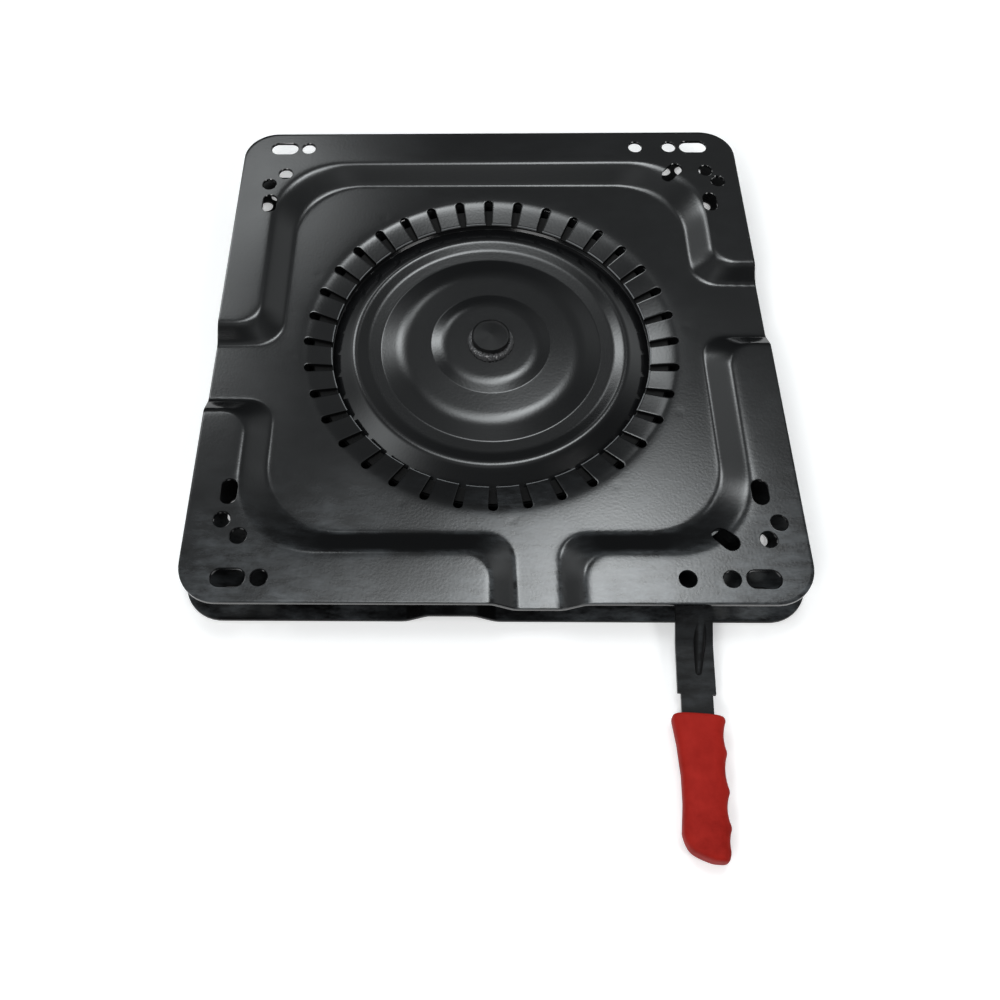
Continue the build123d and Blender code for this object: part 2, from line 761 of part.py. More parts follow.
# Lever guide: a bracket on the front pad whose two ears stop the lever at each end of its swing
guide_ear_z = lever_top_z + top_washer_t
with BuildPart() as lever_guide:
    with BuildSketch(Plane.XZ.offset(-guide_y1)):
        with BuildLine():
            saddle = FilletPolyline(
                (guide_x0, guide_ear_z),
                (guide_x0, sheet_t + guide_t),
                (guide_x1, sheet_t + guide_t),
                (guide_x1, guide_ear_z),
                radius=guide_bend_r,
            )
            offset(saddle, amount=guide_t, side=Side.RIGHT)
        make_face()
    extrude(amount=guide_y1 - guide_y0)
    with BuildSketch(Plane.XY.offset(sheet_t)):
        with Locations((guide_rivet_x, guide_rivet_y)):
            with GridLocations(guide_rivet_pitch, 1, 2, 1):
                Circle(guide_rivet_r + rivet_fit)
    extrude(amount=2 * guide_t, mode=Mode.SUBTRACT)
lever_guide.part.label = "lever_guide"
export_step(lever_guide.part, "parts/lever_guide.step")

with BuildPart() as guide_rivets:
    with BuildSketch(Plane.XY.offset(rivet_fit)):
        with Locations((guide_rivet_x, guide_rivet_y)):
            with GridLocations(guide_rivet_pitch, 1, 2, 1):
                Circle(guide_rivet_r)
    extrude(amount=sheet_t + guide_t - rivet_fit)
    with BuildSketch(Plane.XY.offset(sheet_t + guide_t)):
        with Locations((guide_rivet_x, guide_rivet_y)):
            with GridLocations(guide_rivet_pitch, 1, 2, 1):
                Circle(guide_rivet_head_r)
    extrude(amount=guide_rivet_head_t)
guide_rivets.part.label = "guide_rivets"
export_step(guide_rivets.part, "parts/guide_rivets.step")
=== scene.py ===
"""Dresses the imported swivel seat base: pressed plates, dished disc, lever, grip and studio.

Lengths in the classes are millimetres. A mesh is scaled to metres when it becomes an object.
"""

import json
import logging
import math
from dataclasses import dataclass, field
from enum import Enum
from typing import Sequence

import bmesh
import bpy
import mathutils
import numpy as np
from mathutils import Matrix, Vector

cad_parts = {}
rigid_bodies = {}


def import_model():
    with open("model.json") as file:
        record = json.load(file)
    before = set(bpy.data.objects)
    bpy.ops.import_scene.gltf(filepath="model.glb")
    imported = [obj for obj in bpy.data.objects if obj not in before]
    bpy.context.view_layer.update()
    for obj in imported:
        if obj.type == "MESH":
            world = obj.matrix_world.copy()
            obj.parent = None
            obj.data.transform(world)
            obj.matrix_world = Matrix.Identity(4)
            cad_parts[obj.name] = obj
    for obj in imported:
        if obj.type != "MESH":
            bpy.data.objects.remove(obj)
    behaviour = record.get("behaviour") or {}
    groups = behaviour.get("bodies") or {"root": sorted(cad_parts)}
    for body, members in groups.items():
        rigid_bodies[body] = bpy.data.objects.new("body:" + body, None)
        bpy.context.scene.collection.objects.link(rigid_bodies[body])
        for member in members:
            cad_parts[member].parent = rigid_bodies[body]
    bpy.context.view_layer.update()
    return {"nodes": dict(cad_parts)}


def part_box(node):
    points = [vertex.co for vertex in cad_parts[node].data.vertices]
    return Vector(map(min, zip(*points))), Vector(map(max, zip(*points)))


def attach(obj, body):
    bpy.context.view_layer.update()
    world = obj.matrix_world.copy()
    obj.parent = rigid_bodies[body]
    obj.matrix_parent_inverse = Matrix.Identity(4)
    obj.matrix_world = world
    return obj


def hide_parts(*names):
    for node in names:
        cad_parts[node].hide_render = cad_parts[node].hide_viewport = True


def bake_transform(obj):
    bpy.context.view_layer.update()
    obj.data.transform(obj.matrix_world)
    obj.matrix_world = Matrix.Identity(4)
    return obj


log = logging.getLogger("swivel_base")

MM = 0.001
UPPER_BODY = "upper"
BASE_BODY = "base"
LEVER_BODY = "lever"
LEVER_PIVOT = (118.0, -116.0)
LEVER_YAW_DEG = -3.6


class Slot(Enum):
    """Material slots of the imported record."""

    PLATE = "black_paint"
    GRIP = "red_grip"
    STEEL = "zinc_steel"


class PlateSide(Enum):
    """Which of the two pressings a plate is."""

    UPPER = "upper_plate"
    LOWER = "lower_plate"


def soft_positive(x: np.ndarray, softness: float) -> np.ndarray:
    """Positive part of x with its corner rounded: (x + sqrt(x^2 + k^2)) / 2.

    Args:
        x: Values.
        softness: Width k of the rounded corner.

    Returns:
        The rounded positive part.
    """
    return 0.5 * (x + np.sqrt(x * x + softness * softness))


def soft_ramp(t: np.ndarray, foot: float, crest: float) -> np.ndarray:
    """Ramp from 0 to 1 over t from 0 to 1, with both of its corners rounded.

    Args:
        t: Position across the ramp.
        foot: Width of the rounded lower corner, as a share of the ramp.
        crest: Width of the rounded upper corner.

    Returns:
        The difference of two rounded positive parts, at t and at t - 1.
    """
    return soft_positive(t, foot) - soft_positive(t - 1.0, crest)


def round_union(a: np.ndarray, b: np.ndarray, radius: float) -> np.ndarray:
    """Union of two signed distances whose inner corner is filled by an arc of that radius.

    Args:
        a: Signed distance to the first shape, negative inside.
        b: Signed distance to the second shape.
        radius: Radius of the arc between the shapes.

    Returns:
        max(r, min(a, b)) less the length of the vector (max(r - a, 0), max(r - b, 0)).
    """
    reach = np.hypot(np.maximum(radius - a, 0.0), np.maximum(radius - b, 0.0))
    return np.maximum(radius, np.minimum(a, b)) - reach


def rounded_box(x: np.ndarray, y: np.ndarray, half_x: float, half_y: float, radius: float) -> np.ndarray:
    """Signed distance to a rectangle with round corners, centred on the origin.

    Args:
        x: X coordinates.
        y: Y coordinates.
        half_x: Half width.
        half_y: Half depth.
        radius: Corner radius.

    Returns:
        Distance, negative inside.
    """
    qx = np.abs(x) - (half_x - radius)
    qy = np.abs(y) - (half_y - radius)
    outside = np.hypot(np.maximum(qx, 0.0), np.maximum(qy, 0.0))
    return outside + np.minimum(np.maximum(qx, qy), 0.0) - radius


def rounded_line(
    points: Sequence[tuple[float, float]], radii: Sequence[float], arc_steps: int = 8, run_steps: int = 3
) -> np.ndarray:
    """A line through corner points whose inner corners are arcs.

    Each arc touches both runs at a distance of r tan(turn / 2) from its corner.

    Args:
        points: Corner points.
        radii: One radius for each inner corner.
        arc_steps: Points on each arc.
        run_steps: Points put between two arcs.

    Returns:
        Array of points, two columns.
    """
    corners = np.asarray(points, float)
    stretches = [corners[:1]]
    for before, corner, after, radius in zip(corners, corners[1:], corners[2:], radii):
        to_before = (before - corner) / np.linalg.norm(before - corner)
        to_after = (after - corner) / np.linalg.norm(after - corner)
        opening = math.acos(float(np.clip(to_before @ to_after, -1.0, 1.0)))
        setback = radius / math.tan(opening / 2)
        bisector = (to_before + to_after) / np.linalg.norm(to_before + to_after)
        centre = corner + bisector * radius / math.sin(opening / 2)
        start = corner + to_before * setback - centre
        turn = math.pi - opening
        sign = 1.0 if start[0] * to_after[1] - start[1] * to_after[0] > 0 else -1.0
        angles = sign * np.linspace(0.0, turn, arc_steps)
        cosine, sine = np.cos(angles), np.sin(angles)
        arc = np.stack([start[0] * cosine - start[1] * sine, start[0] * sine + start[1] * cosine], 1)
        stretches.append(centre + arc)
    stretches.append(corners[-1:])
    pieces = []
    for first, second in zip(stretches, stretches[1:]):
        share = np.linspace(0.0, 1.0, run_steps + 2)[1:-1, None]
        pieces += [first, first[-1] * (1 - share) + second[0] * share]
    return np.concatenate(pieces + [stretches[-1]])


def sheet_section(line: np.ndarray, thickness: float) -> np.ndarray:
    """Closed section of a sheet whose upper side is the line, run outwards.

    The lower side is the line moved by the thickness along its normals.

    Args:
        line: Upper side, from the axis outwards.
        thickness: Sheet thickness.

    Returns:
        Closed loop of points, lower side first, so that turning it gives outward faces.
    """
    slope = np.gradient(line, axis=0)
    normal = np.stack([slope[:, 1], -slope[:, 0]], 1)
    normal /= np.linalg.norm(normal, axis=1)[:, None]
    lower = line + normal * thickness
    return np.concatenate([lower, line[::-1]])


def turned_grid(loop: np.ndarray, steps: int) -> np.ndarray:
    """Points of a section turned about the Z axis.

    Args:
        loop: Section points, radius and height.
        steps: Stations round the axis.

    Returns:
        Array of shape (steps, len(loop), 3).
    """
    angle = np.linspace(0.0, 2 * np.pi, steps, endpoint=False)[:, None]
    radius, height = loop[None, :, 0], loop[None, :, 1]
    return np.stack([radius * np.cos(angle), radius * np.sin(angle), height + 0 * angle], -1)


def grid_faces(rows: int, columns: int, wrap_rows: bool, wrap_columns: bool) -> np.ndarray:
    """Quads over a grid of points, numbered row by row.

    Args:
        rows: Number of rows.
        columns: Number of columns.
        wrap_rows: Join the last row to the first.
        wrap_columns: Join the last column to the first.

    Returns:
        Array of four indices per quad.
    """
    i, j = np.meshgrid(
        np.arange(rows if wrap_rows else rows - 1),
        np.arange(columns if wrap_columns else columns - 1),
        indexing="ij",
    )
    i_next, j_next = (i + 1) % rows, (j + 1) % columns
    corners = [i * columns + j, i_next * columns + j, i_next * columns + j_next, i * columns + j_next]
    return np.stack(corners, -1).reshape(-1, 4)


def capped_tube_faces(rows: int, sides: int) -> list[list[int]]:
    """Quads round a tube's grid of points, with one face over each end.

    Args:
        rows: Stations along the tube.
        sides: Points round it.

    Returns:
        Corner indices of each face.
    """
    ends = [list(range(sides)), list(range((rows - 1) * sides, rows * sides))[::-1]]
    return grid_faces(rows, sides, False, True).tolist() + ends


def lever_place(points: np.ndarray) -> np.ndarray:
    """Moves points from the lever's frame to their place: turned by its yaw about its pivot.

    Args:
        points: Points across, along and up from the pivot, any shape ending in 3.

    Returns:
        Points in the part's frame, in the same shape.
    """
    yaw = math.radians(LEVER_YAW_DEG)
    x, y, z = points[..., 0], points[..., 1], points[..., 2]
    return np.stack(
        [
            LEVER_PIVOT[0] + x * math.cos(yaw) - y * math.sin(yaw),
            LEVER_PIVOT[1] + x * math.sin(yaw) + y * math.cos(yaw),
            z,
        ],
        -1,
    )


def tube_grid(path: np.ndarray, radius: float, sides: int) -> np.ndarray:
    """A round section carried along a path, kept upright by a fixed guide direction.

    Args:
        path: Points of the path, three columns.
        radius: Section radius.
        sides: Points round the section.

    Returns:
        Array of shape (len(path), sides, 3).
    """
    tangent = np.gradient(path, axis=0)
    tangent /= np.linalg.norm(tangent, axis=1)[:, None]
    guide = np.array([0.31, 0.17, 0.93])
    across = np.cross(tangent, guide)
    across /= np.linalg.norm(across, axis=1)[:, None]
    up = np.cross(across, tangent)
    angle = np.linspace(0.0, 2 * np.pi, sides, endpoint=False)[None, :, None]
    return path[:, None] + radius * (across[:, None] * np.cos(angle) + up[:, None] * np.sin(angle))


def ripple(x: np.ndarray, y: np.ndarray, seed: int, waves: int = 7) -> np.ndarray:
    """Smooth unevenness between about -1 and 1: a sum of sine waves in seeded directions.

    Args:
        x: First coordinate, in wavelengths.
        y: Second coordinate, in wavelengths.
        seed: Seed of the directions and phases.
        waves: How many waves are summed.

    Returns:
        Values of the same shape as x.
    """
    rng = np.random.default_rng(seed)
    total = np.zeros_like(x)
    for _ in range(waves):
        heading, phase, pitch = rng.uniform(0, np.pi), rng.uniform(0, 2 * np.pi), rng.uniform(0.6, 1.8)
        total += np.sin(2 * np.pi * pitch * (x * np.cos(heading) + y * np.sin(heading)) + phase)
    return total / math.sqrt(waves)


def new_object(name: str, points: np.ndarray, faces: Sequence[Sequence[int]]) -> bpy.types.Object:
    """A mesh object at the origin, smooth shaded, with its points turned from millimetres to metres.

    Args:
        name: Object name.
        points: Points in millimetres, any shape ending in 3.
        faces: Corner indices of each face.

    Returns:
        The linked object.
    """
    mesh = bpy.data.meshes.new(name)
    corners = faces.tolist() if isinstance(faces, np.ndarray) else faces
    mesh.from_pydata((points.reshape(-1, 3) * MM).tolist(), [], corners)
    mesh.polygons.foreach_set("use_smooth", np.ones(len(mesh.polygons), bool))
    mesh.update()
    made = bpy.data.objects.new(name, mesh)
    bpy.context.scene.collection.objects.link(made)
    return made


def weld(made: bpy.types.Object, distance: float = 1e-6) -> None:
    """Merges points of the object that lie together, and turns its faces outwards.

    Args:
        made: Object to weld.
        distance: Merge distance in metres.
    """
    work = bmesh.new()
    work.from_mesh(made.data)
    bmesh.ops.remove_doubles(work, verts=work.verts, dist=distance)
    bmesh.ops.recalc_face_normals(work, faces=work.faces)
    work.to_mesh(made.data)
    work.free()


def bake_modifiers(made: bpy.types.Object, sharp_deg: float) -> None:
    """Replaces the object's mesh by its modifiers' result and marks its sharp edges.

    Args:
        made: Object with modifiers.
        sharp_deg: Edges that turn by more than this stay sharp.
    """
    graph = bpy.context.evaluated_depsgraph_get()
    final = bpy.data.meshes.new_from_object(made.evaluated_get(graph))
    made.modifiers.clear()
    made.data = final
    mark_sharp(made, sharp_deg)


def mark_sharp(made: bpy.types.Object, sharp_deg: float) -> None:
    """Shades the object smooth apart from edges that turn by more than sharp_deg."""
    made.data.polygons.foreach_set("use_smooth", np.ones(len(made.data.polygons), bool))
    made.data.set_sharp_from_angle(angle=math.radians(sharp_deg))


def dress(made: bpy.types.Object, material: bpy.types.Material) -> None:
    """Gives the object one material in place of any it has."""
    made.data.materials.clear()
    made.data.materials.append(material)


def adopt(
    made: bpy.types.Object, body: str, slot: Slot, material: bpy.types.Material, *nodes: str
) -> bpy.types.Object:
    """Rides a finished piece on its body, with its material, and hides the nodes it stands for.

    Args:
        made: Finished piece.
        body: CAD body that it moves with.
        slot: Record slot of its finish; not used.
        material: Its material.
        nodes: CAD nodes that it replaces.

    Returns:
        The piece.
    """
    dress(made, material)
    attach(made, body)
    if nodes:
        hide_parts(*nodes)
    log.info("%s rides on %s, %d faces", made.name, body, len(made.data.polygons))
    return made


class NodeTree:
    """Short-hand for wiring one material's shader nodes."""

    def __init__(self, name: str) -> None:
        """Starts a node material with its Principled shader.

        Args:
            name: Material name.
        """
        self.material = bpy.data.materials.new(name)
        self.material.use_nodes = True
        self.tree = self.material.node_tree
        self.shader = self.tree.nodes["Principled BSDF"]
        source = self.tree.nodes.new("ShaderNodeTexCoord")
        self.coordinates = source.outputs["Object"]
        self.texture_normal = source.outputs["Normal"]

    def link(self, source: bpy.types.NodeSocket, target: bpy.types.NodeSocket) -> None:
        """Links one socket to another."""
        self.tree.links.new(source, target)

    def noise(
        self, scale: float, detail: float = 3.0, roughness: float = 0.5, stretch: Sequence[float] = (1, 1, 1)
    ) -> bpy.types.NodeSocket:
        """Noise on object coordinates.

        Args:
            scale: Waves per metre.
            detail: Octaves.
            roughness: Weight of the finer octaves.
            stretch: Scale of each axis.

        Returns:
            The noise value socket.
        """
        mapping = self.tree.nodes.new("ShaderNodeMapping")
        mapping.inputs["Scale"].default_value = tuple(stretch)
        self.link(self.coordinates, mapping.inputs["Vector"])
        texture = self.tree.nodes.new("ShaderNodeTexNoise")
        texture.inputs["Scale"].default_value = scale
        texture.inputs["Detail"].default_value = detail
        texture.inputs["Roughness"].default_value = roughness
        self.link(mapping.outputs["Vector"], texture.inputs["Vector"])
        return texture.outputs["Fac"]

    def spread(
        self, value: bpy.types.NodeSocket, low: float, high: float, to_low: float, to_high: float
    ) -> bpy.types.NodeSocket:
        """Maps a value's range onto another, clamped.

        Args:
            value: Input socket.
            low: Input that gives to_low.
            high: Input that gives to_high.
            to_low: Output at low.
            to_high: Output at high.

        Returns:
            The mapped socket.
        """
        node = self.tree.nodes.new("ShaderNodeMapRange")
        for key, number in zip(("From Min", "From Max", "To Min", "To Max"), (low, high, to_low, to_high)):
            node.inputs[key].default_value = number
        self.link(value, node.inputs["Value"])
        return node.outputs["Result"]

    def mix(
        self,
        share: bpy.types.NodeSocket,
        first: Sequence[float] | bpy.types.NodeSocket,
        second: Sequence[float],
    ) -> bpy.types.NodeSocket:
        """Mixes two colours.

        Args:
            share: Socket with the second colour's share.
            first: Colour at 0, or the socket that gives it.
            second: Colour at 1.

        Returns:
            The colour socket.
        """
        node = self.tree.nodes.new("ShaderNodeMix")
        node.data_type = "RGBA"
        colour_in = [s for s in node.inputs if s.type == "RGBA"]
        if isinstance(first, bpy.types.NodeSocket):
            self.link(first, colour_in[0])
        else:
            colour_in[0].default_value = (*first, 1.0)
        colour_in[1].default_value = (*second, 1.0)
        self.link(share, node.inputs["Factor"])
        return [s for s in node.outputs if s.type == "RGBA"][0]

    def multiply(self, first: bpy.types.NodeSocket, second: bpy.types.NodeSocket) -> bpy.types.NodeSocket:
        """Product of two values.

        Args:
            first: One value socket.
            second: The other value socket.

        Returns:
            The product's socket.
        """
        node = self.tree.nodes.new("ShaderNodeMath")
        node.operation = "MULTIPLY"
        self.link(first, node.inputs[0])
        self.link(second, node.inputs[1])
        return node.outputs["Value"]

    def axis_distance(self) -> bpy.types.NodeSocket:
        """Distance from the Z axis, in metres, as a value socket."""
        flat = self.tree.nodes.new("ShaderNodeVectorMath")
        flat.operation = "MULTIPLY"
        flat.inputs[1].default_value = (1.0, 1.0, 0.0)
        self.link(self.coordinates, flat.inputs[0])
        length = self.tree.nodes.new("ShaderNodeVectorMath")
        length.operation = "LENGTH"
        self.link(flat.outputs["Vector"], length.inputs[0])
        return length.outputs["Value"]

    def along_y(self) -> bpy.types.NodeSocket:
        """The object's Y coordinate, in metres, as a value socket."""
        split = self.tree.nodes.new("ShaderNodeSeparateXYZ")
        self.link(self.coordinates, split.inputs["Vector"])
        return split.outputs["Y"]

    def levelness(self) -> bpy.types.NodeSocket:
        """Size of the normal's Z, from 0 on upright faces to 1 on level ones, as a value socket."""
        split = self.tree.nodes.new("ShaderNodeSeparateXYZ")
        self.link(self.texture_normal, split.inputs["Vector"])
        size = self.tree.nodes.new("ShaderNodeMath")
        size.operation = "ABSOLUTE"
        self.link(split.outputs["Z"], size.inputs[0])
        return size.outputs["Value"]

    def bump(self, height: bpy.types.NodeSocket, depth_mm: float, strength: float) -> None:
        """Adds a bump to the shader's normal.

        Args:
            height: Height socket, from 0 to 1.
            depth_mm: Depth that 1 stands for, in millimetres.
            strength: Share of the bump that is used.
        """
        node = self.tree.nodes.new("ShaderNodeBump")
        node.inputs["Strength"].default_value = strength
        node.inputs["Distance"].default_value = depth_mm * MM
        self.link(height, node.inputs["Height"])
        self.link(node.outputs["Normal"], self.shader.inputs["Normal"])


@dataclass(frozen=True)
class Ring:
    """A ring about the swivel axis, in millimetres, that has a finish of its own."""

    inner: float
    outer: float
    border: float = 0.4

    def share(self, tree: NodeTree) -> bpy.types.NodeSocket:
        """Share of the ring's finish: 1 between the two radii, with a soft border.

        Args:
            tree: Material that it is added to.

        Returns:
            The share's value socket.
        """
        radius = tree.axis_distance()
        border = self.border * MM
        return tree.multiply(
            tree.spread(radius, self.inner * MM, self.inner * MM + border, 0.0, 1.0),
            tree.spread(radius, self.outer * MM, self.outer * MM + border, 1.0, 0.0),
        )

    def coat(self, made: bpy.types.Object, material: bpy.types.Material, flattest: float = 1.0) -> None:
        """Gives the ring's faces a second material.

        Args:
            made: Dressed piece.
            material: Material of the ring's faces.
            flattest: Faces whose normal has a larger Z than this keep the first material.
        """
        count = len(made.data.polygons)
        centre, normal, index = np.zeros(count * 3), np.zeros(count * 3), np.zeros(count, np.int32)
        made.data.polygons.foreach_get("center", centre)
        made.data.polygons.foreach_get("normal", normal)
        radius = np.hypot(centre[0::3], centre[1::3]) / MM
        chosen = (radius > self.inner) & (radius < self.outer) & (np.abs(normal[2::3]) <= flattest)
        made.data.materials.append(material)
        index[chosen] = len(made.data.materials) - 1
        made.data.polygons.foreach_set("material_index", index)


@dataclass(frozen=True)
class PaintFinish:
    """Sprayed paint on pressed steel: dark, semi-gloss, with dust, smears and a faint orange peel."""

    name: str
    colour: tuple[float, float, float]
    dust: tuple[float, float, float]
    smooth: float
    dull: float
    peel_mm: float = 0.05
    dust_share: float = 0.75
    dust_front_m: tuple[float, float] = (-0.19, -0.09)
    shine: float = 0.5
    # worn_and_highlit: a ring of lighter grey on the tabs' cut tips, partly worn paint and partly a painted
    # highlight where those edges catch the light
    worn_and_highlit: Ring | None = None
    worn_and_highlit_colour: tuple[float, float, float] = (0.16, 0.165, 0.17)
    smear_per_m: float = 14.0
    dust_per_m: float = 120.0
    dust_stretch: tuple[float, float, float] = (0.45, 1.2, 1.0)
    peel_per_m: float = 600.0
    peel_strength: float = 0.5
    far_dust: float = 0.04
    level_range: tuple[float, float] = (0.9, 0.97)
    smear_range: tuple[float, float] = (0.36, 0.62)
    dust_range: tuple[float, float] = (0.38, 0.66)
    gloss_range: tuple[float, float] = (0.3, 0.75)

    def material(self) -> bpy.types.Material:
        """Builds the material: dust settles on level faces, most of it at the front, in patches and specks.

        Returns:
            Paint whose roughness and colour vary with large smears and fine dust.
        """
        tree = NodeTree(self.name)
        smear = tree.noise(self.smear_per_m, 5.0, 0.6)
        specks = tree.noise(self.dust_per_m, 6.0, 0.7, self.dust_stretch)
        front = tree.spread(tree.along_y(), *self.dust_front_m, 1.0, self.far_dust)
        level = tree.spread(tree.levelness(), *self.level_range, 0.0, 1.0)
        patches = tree.spread(smear, *self.smear_range, 0.0, 1.0)
        smudge = tree.multiply(patches, tree.multiply(front, level))
        settled = tree.multiply(smudge, tree.spread(specks, *self.dust_range, 0.0, self.dust_share))
        paint = tree.mix(settled, self.colour, self.dust)
        # Lighter tab tips: worn paint and a painted highlight on the cut edges
        if self.worn_and_highlit:
            paint = tree.mix(self.worn_and_highlit.share(tree), paint, self.worn_and_highlit_colour)
        tree.link(paint, tree.shader.inputs["Base Color"])
        gloss = tree.spread(smear, *self.gloss_range, self.smooth, self.dull)
        tree.link(gloss, tree.shader.inputs["Roughness"])
        tree.shader.inputs["Specular IOR Level"].default_value = self.shine
        tree.bump(tree.noise(self.peel_per_m, 2.0), self.peel_mm, self.peel_strength)
        return tree.material


@dataclass(frozen=True)
class GripFinish:
    """Dipped soft plastic: matte red with mottling and a fine grain, darker towards its outer end."""

    name: str
    colour: tuple[float, float, float]
    shade: tuple[float, float, float]
    roughness: float
    end_dark_m: tuple[float, float] = (-0.312, -0.245)
    end_dark_share: tuple[float, float] = (0.95, 0.5)
    mottle_per_m: float = 90.0
    mottle_range: tuple[float, float] = (0.3, 0.7)
    duller: float = 0.12
    shine: float = 0.12
    grain_per_m: float = 1000.0
    grain_mm: float = 0.09
    grain_strength: float = 0.6

    def material(self) -> bpy.types.Material:
        """Builds the material.

        Returns:
            Red plastic with a slow colour change and a fine bump.
        """
        tree = NodeTree(self.name)
        mottle = tree.noise(self.mottle_per_m, 6.0, 0.7)
        # Darker towards the grip's outer end, by its place along Y
        end_dark = tree.spread(tree.along_y(), *self.end_dark_m, *self.end_dark_share)
        darker = tree.multiply(tree.spread(mottle, *self.mottle_range, 0.2, 1.0), end_dark)
        tree.link(tree.mix(darker, self.colour, self.shade), tree.shader.inputs["Base Color"])
        dull = tree.spread(mottle, *self.mottle_range, self.roughness, self.roughness + self.duller)
        tree.link(dull, tree.shader.inputs["Roughness"])
        tree.shader.inputs["Specular IOR Level"].default_value = self.shine
        tree.bump(tree.noise(self.grain_per_m, 3.0), self.grain_mm, self.grain_strength)
        return tree.material


@dataclass(frozen=True)
class SteelFinish:
    """Plated steel: metallic with fine drawn lines and dull patches."""

    name: str
    colour: tuple[float, float, float]
    shade: tuple[float, float, float]
    roughness: float
    duller: float = 0.18
    streak_per_m: float = 900.0
    streak_stretch: tuple[float, float, float] = (1.0, 1.0, 0.15)
    patch_per_m: float = 220.0

    def material(self) -> bpy.types.Material:
        """Builds the material.

        Returns:
            Metal with streaks along Z and patchy gloss.
        """
        tree = NodeTree(self.name)
        streak = tree.noise(self.streak_per_m, 4.0, 0.6, self.streak_stretch)
        patch = tree.noise(self.patch_per_m, 3.0)
        colour = tree.mix(tree.spread(patch, 0.35, 0.7, 0.0, 1.0), self.colour, self.shade)
        tree.link(colour, tree.shader.inputs["Base Color"])
        tree.shader.inputs["Metallic"].default_value = 1.0
        dull = tree.spread(patch, 0.3, 0.7, self.roughness, self.roughness + self.duller)
        tree.link(dull, tree.shader.inputs["Roughness"])
        tree.bump(streak, 0.02, 0.4)
        return tree.material


@dataclass(frozen=True)
class NylonFinish:
    """Black nylon with a dull sheen."""

    name: str
    colour: tuple[float, float, float]
    shade: tuple[float, float, float]
    patch_per_m: float = 40.0
    gloss_range: tuple[float, float] = (0.5, 0.7)
    shine: float = 0.15
    grain_per_m: float = 500.0

    def material(self) -> bpy.types.Material:
        """Builds the material.

        Returns:
            Dark plastic with greasy patches.
        """
        tree = NodeTree(self.name)
        patch = tree.noise(self.patch_per_m, 4.0)
        colour = tree.mix(tree.spread(patch, 0.4, 0.7, 0.0, 1.0), self.colour, self.shade)
        tree.link(colour, tree.shader.inputs["Base Color"])
        tree.link(tree.spread(patch, 0.3, 0.7, *self.gloss_range), tree.shader.inputs["Roughness"])
        tree.shader.inputs["Specular IOR Level"].default_value = self.shine
        tree.bump(tree.noise(self.grain_per_m, 2.0), 0.02, 0.3)
        return tree.material


@dataclass
class Finishes:
    """All the part's materials, built once."""

    plate: bpy.types.Material = field(init=False)
    lower: bpy.types.Material = field(init=False)
    disc: bpy.types.Material = field(init=False)
    # gap: painted shade for the slot walls and the disc rim under the tabs
    gap: bpy.types.Material = field(init=False)
    lever: bpy.types.Material = field(init=False)
    pin: bpy.types.Material = field(init=False)
    weld: bpy.types.Material = field(init=False)
    grip: bpy.types.Material = field(init=False)
    steel: bpy.types.Material = field(init=False)
    glide: bpy.types.Material = field(init=False)

    def __post_init__(self) -> None:
        """Builds each finish's material."""
        dusty, black, deep_black = (0.13, 0.142, 0.152), (0.005, 0.0052, 0.0056), (0.004, 0.004, 0.0042)
        dark, dull, bare = (0.01, 0.0102, 0.0105), (0.008, 0.008, 0.0082), (0.06, 0.06, 0.062)
        # The ring at 105.5 to 106.4 mm lightens the tab tips: worn paint and a painted highlight
        self.plate = PaintFinish("plate_paint", black, dusty, 0.1, 0.17, worn_and_highlit=Ring(105.5, 106.4)).material()
        self.lower = PaintFinish(
            "lower_plate_paint", deep_black, dusty, 0.2, 0.35, dust_share=0.5, shine=0.12
        ).material()
        self.disc = PaintFinish("disc_paint", black, dusty, 0.11, 0.16, dust_share=0.1).material()
        # gap: a painted shade, near-black paint with almost no shine, put on the slot walls and on the disc
        # rim under the tabs, where only shade falls
        self.gap = PaintFinish("gap_painted_shade", deep_black, dusty, 0.6, 0.8, dust_share=0.1, shine=0.03).material()
        self.pin = PaintFinish("pin_paint", dark, dusty, 0.38, 0.55, shine=0.2).material()
        self.lever = PaintFinish("lever_paint", dull, dusty, 0.28, 0.4, dust_share=0.2, shine=0.07).material()
        self.weld = PaintFinish("weld_paint", bare, (0.2, 0.2, 0.2), 0.16, 0.3, peel_mm=0.25).material()
        self.grip = GripFinish("grip_red", (0.38, 0.0155, 0.0095), (0.2, 0.0045, 0.002), 0.55).material()
        self.steel = SteelFinish("zinc_plate", (0.6, 0.61, 0.63), (0.42, 0.43, 0.45), 0.28).material()
        self.glide = NylonFinish("black_nylon", (0.003, 0.003, 0.003), (0.006, 0.006, 0.006)).material()


@dataclass(frozen=True)
class PadHole:
    """A round hole or slot in a plate's pad."""

    x: float
    y: float
    length: float
    width: float
    angle_deg: float = 0.0

    def outline(self, wider: float = 0.0, steps: int = 16) -> np.ndarray:
        """Stadium outline: two half circles of the width, set apart by length less width.

        Args:
            wider: Distance that the outline is moved outwards by.
            steps: Points on each half circle.

        Returns:
            Points, two columns, anticlockwise.
        """
        half = np.linspace(-np.pi / 2, np.pi / 2, steps)
        run = (self.length - self.width) / 2
        radius = self.width / 2 + wider
        x = np.concatenate([np.cos(half) * radius + run, -np.cos(half) * radius - run])
        y = np.concatenate([np.sin(half) * radius, -np.sin(half) * radius])
        turn = math.radians(self.angle_deg)
        if self.length - self.width < 1e-6:
            keep = np.r_[0:steps - 1, steps:2 * steps - 1]
            x, y = x[keep], y[keep]
        return np.stack(
            [
                self.x + x * math.cos(turn) - y * math.sin(turn),
                self.y + x * math.sin(turn) + y * math.cos(turn),
            ],
            1,
        )


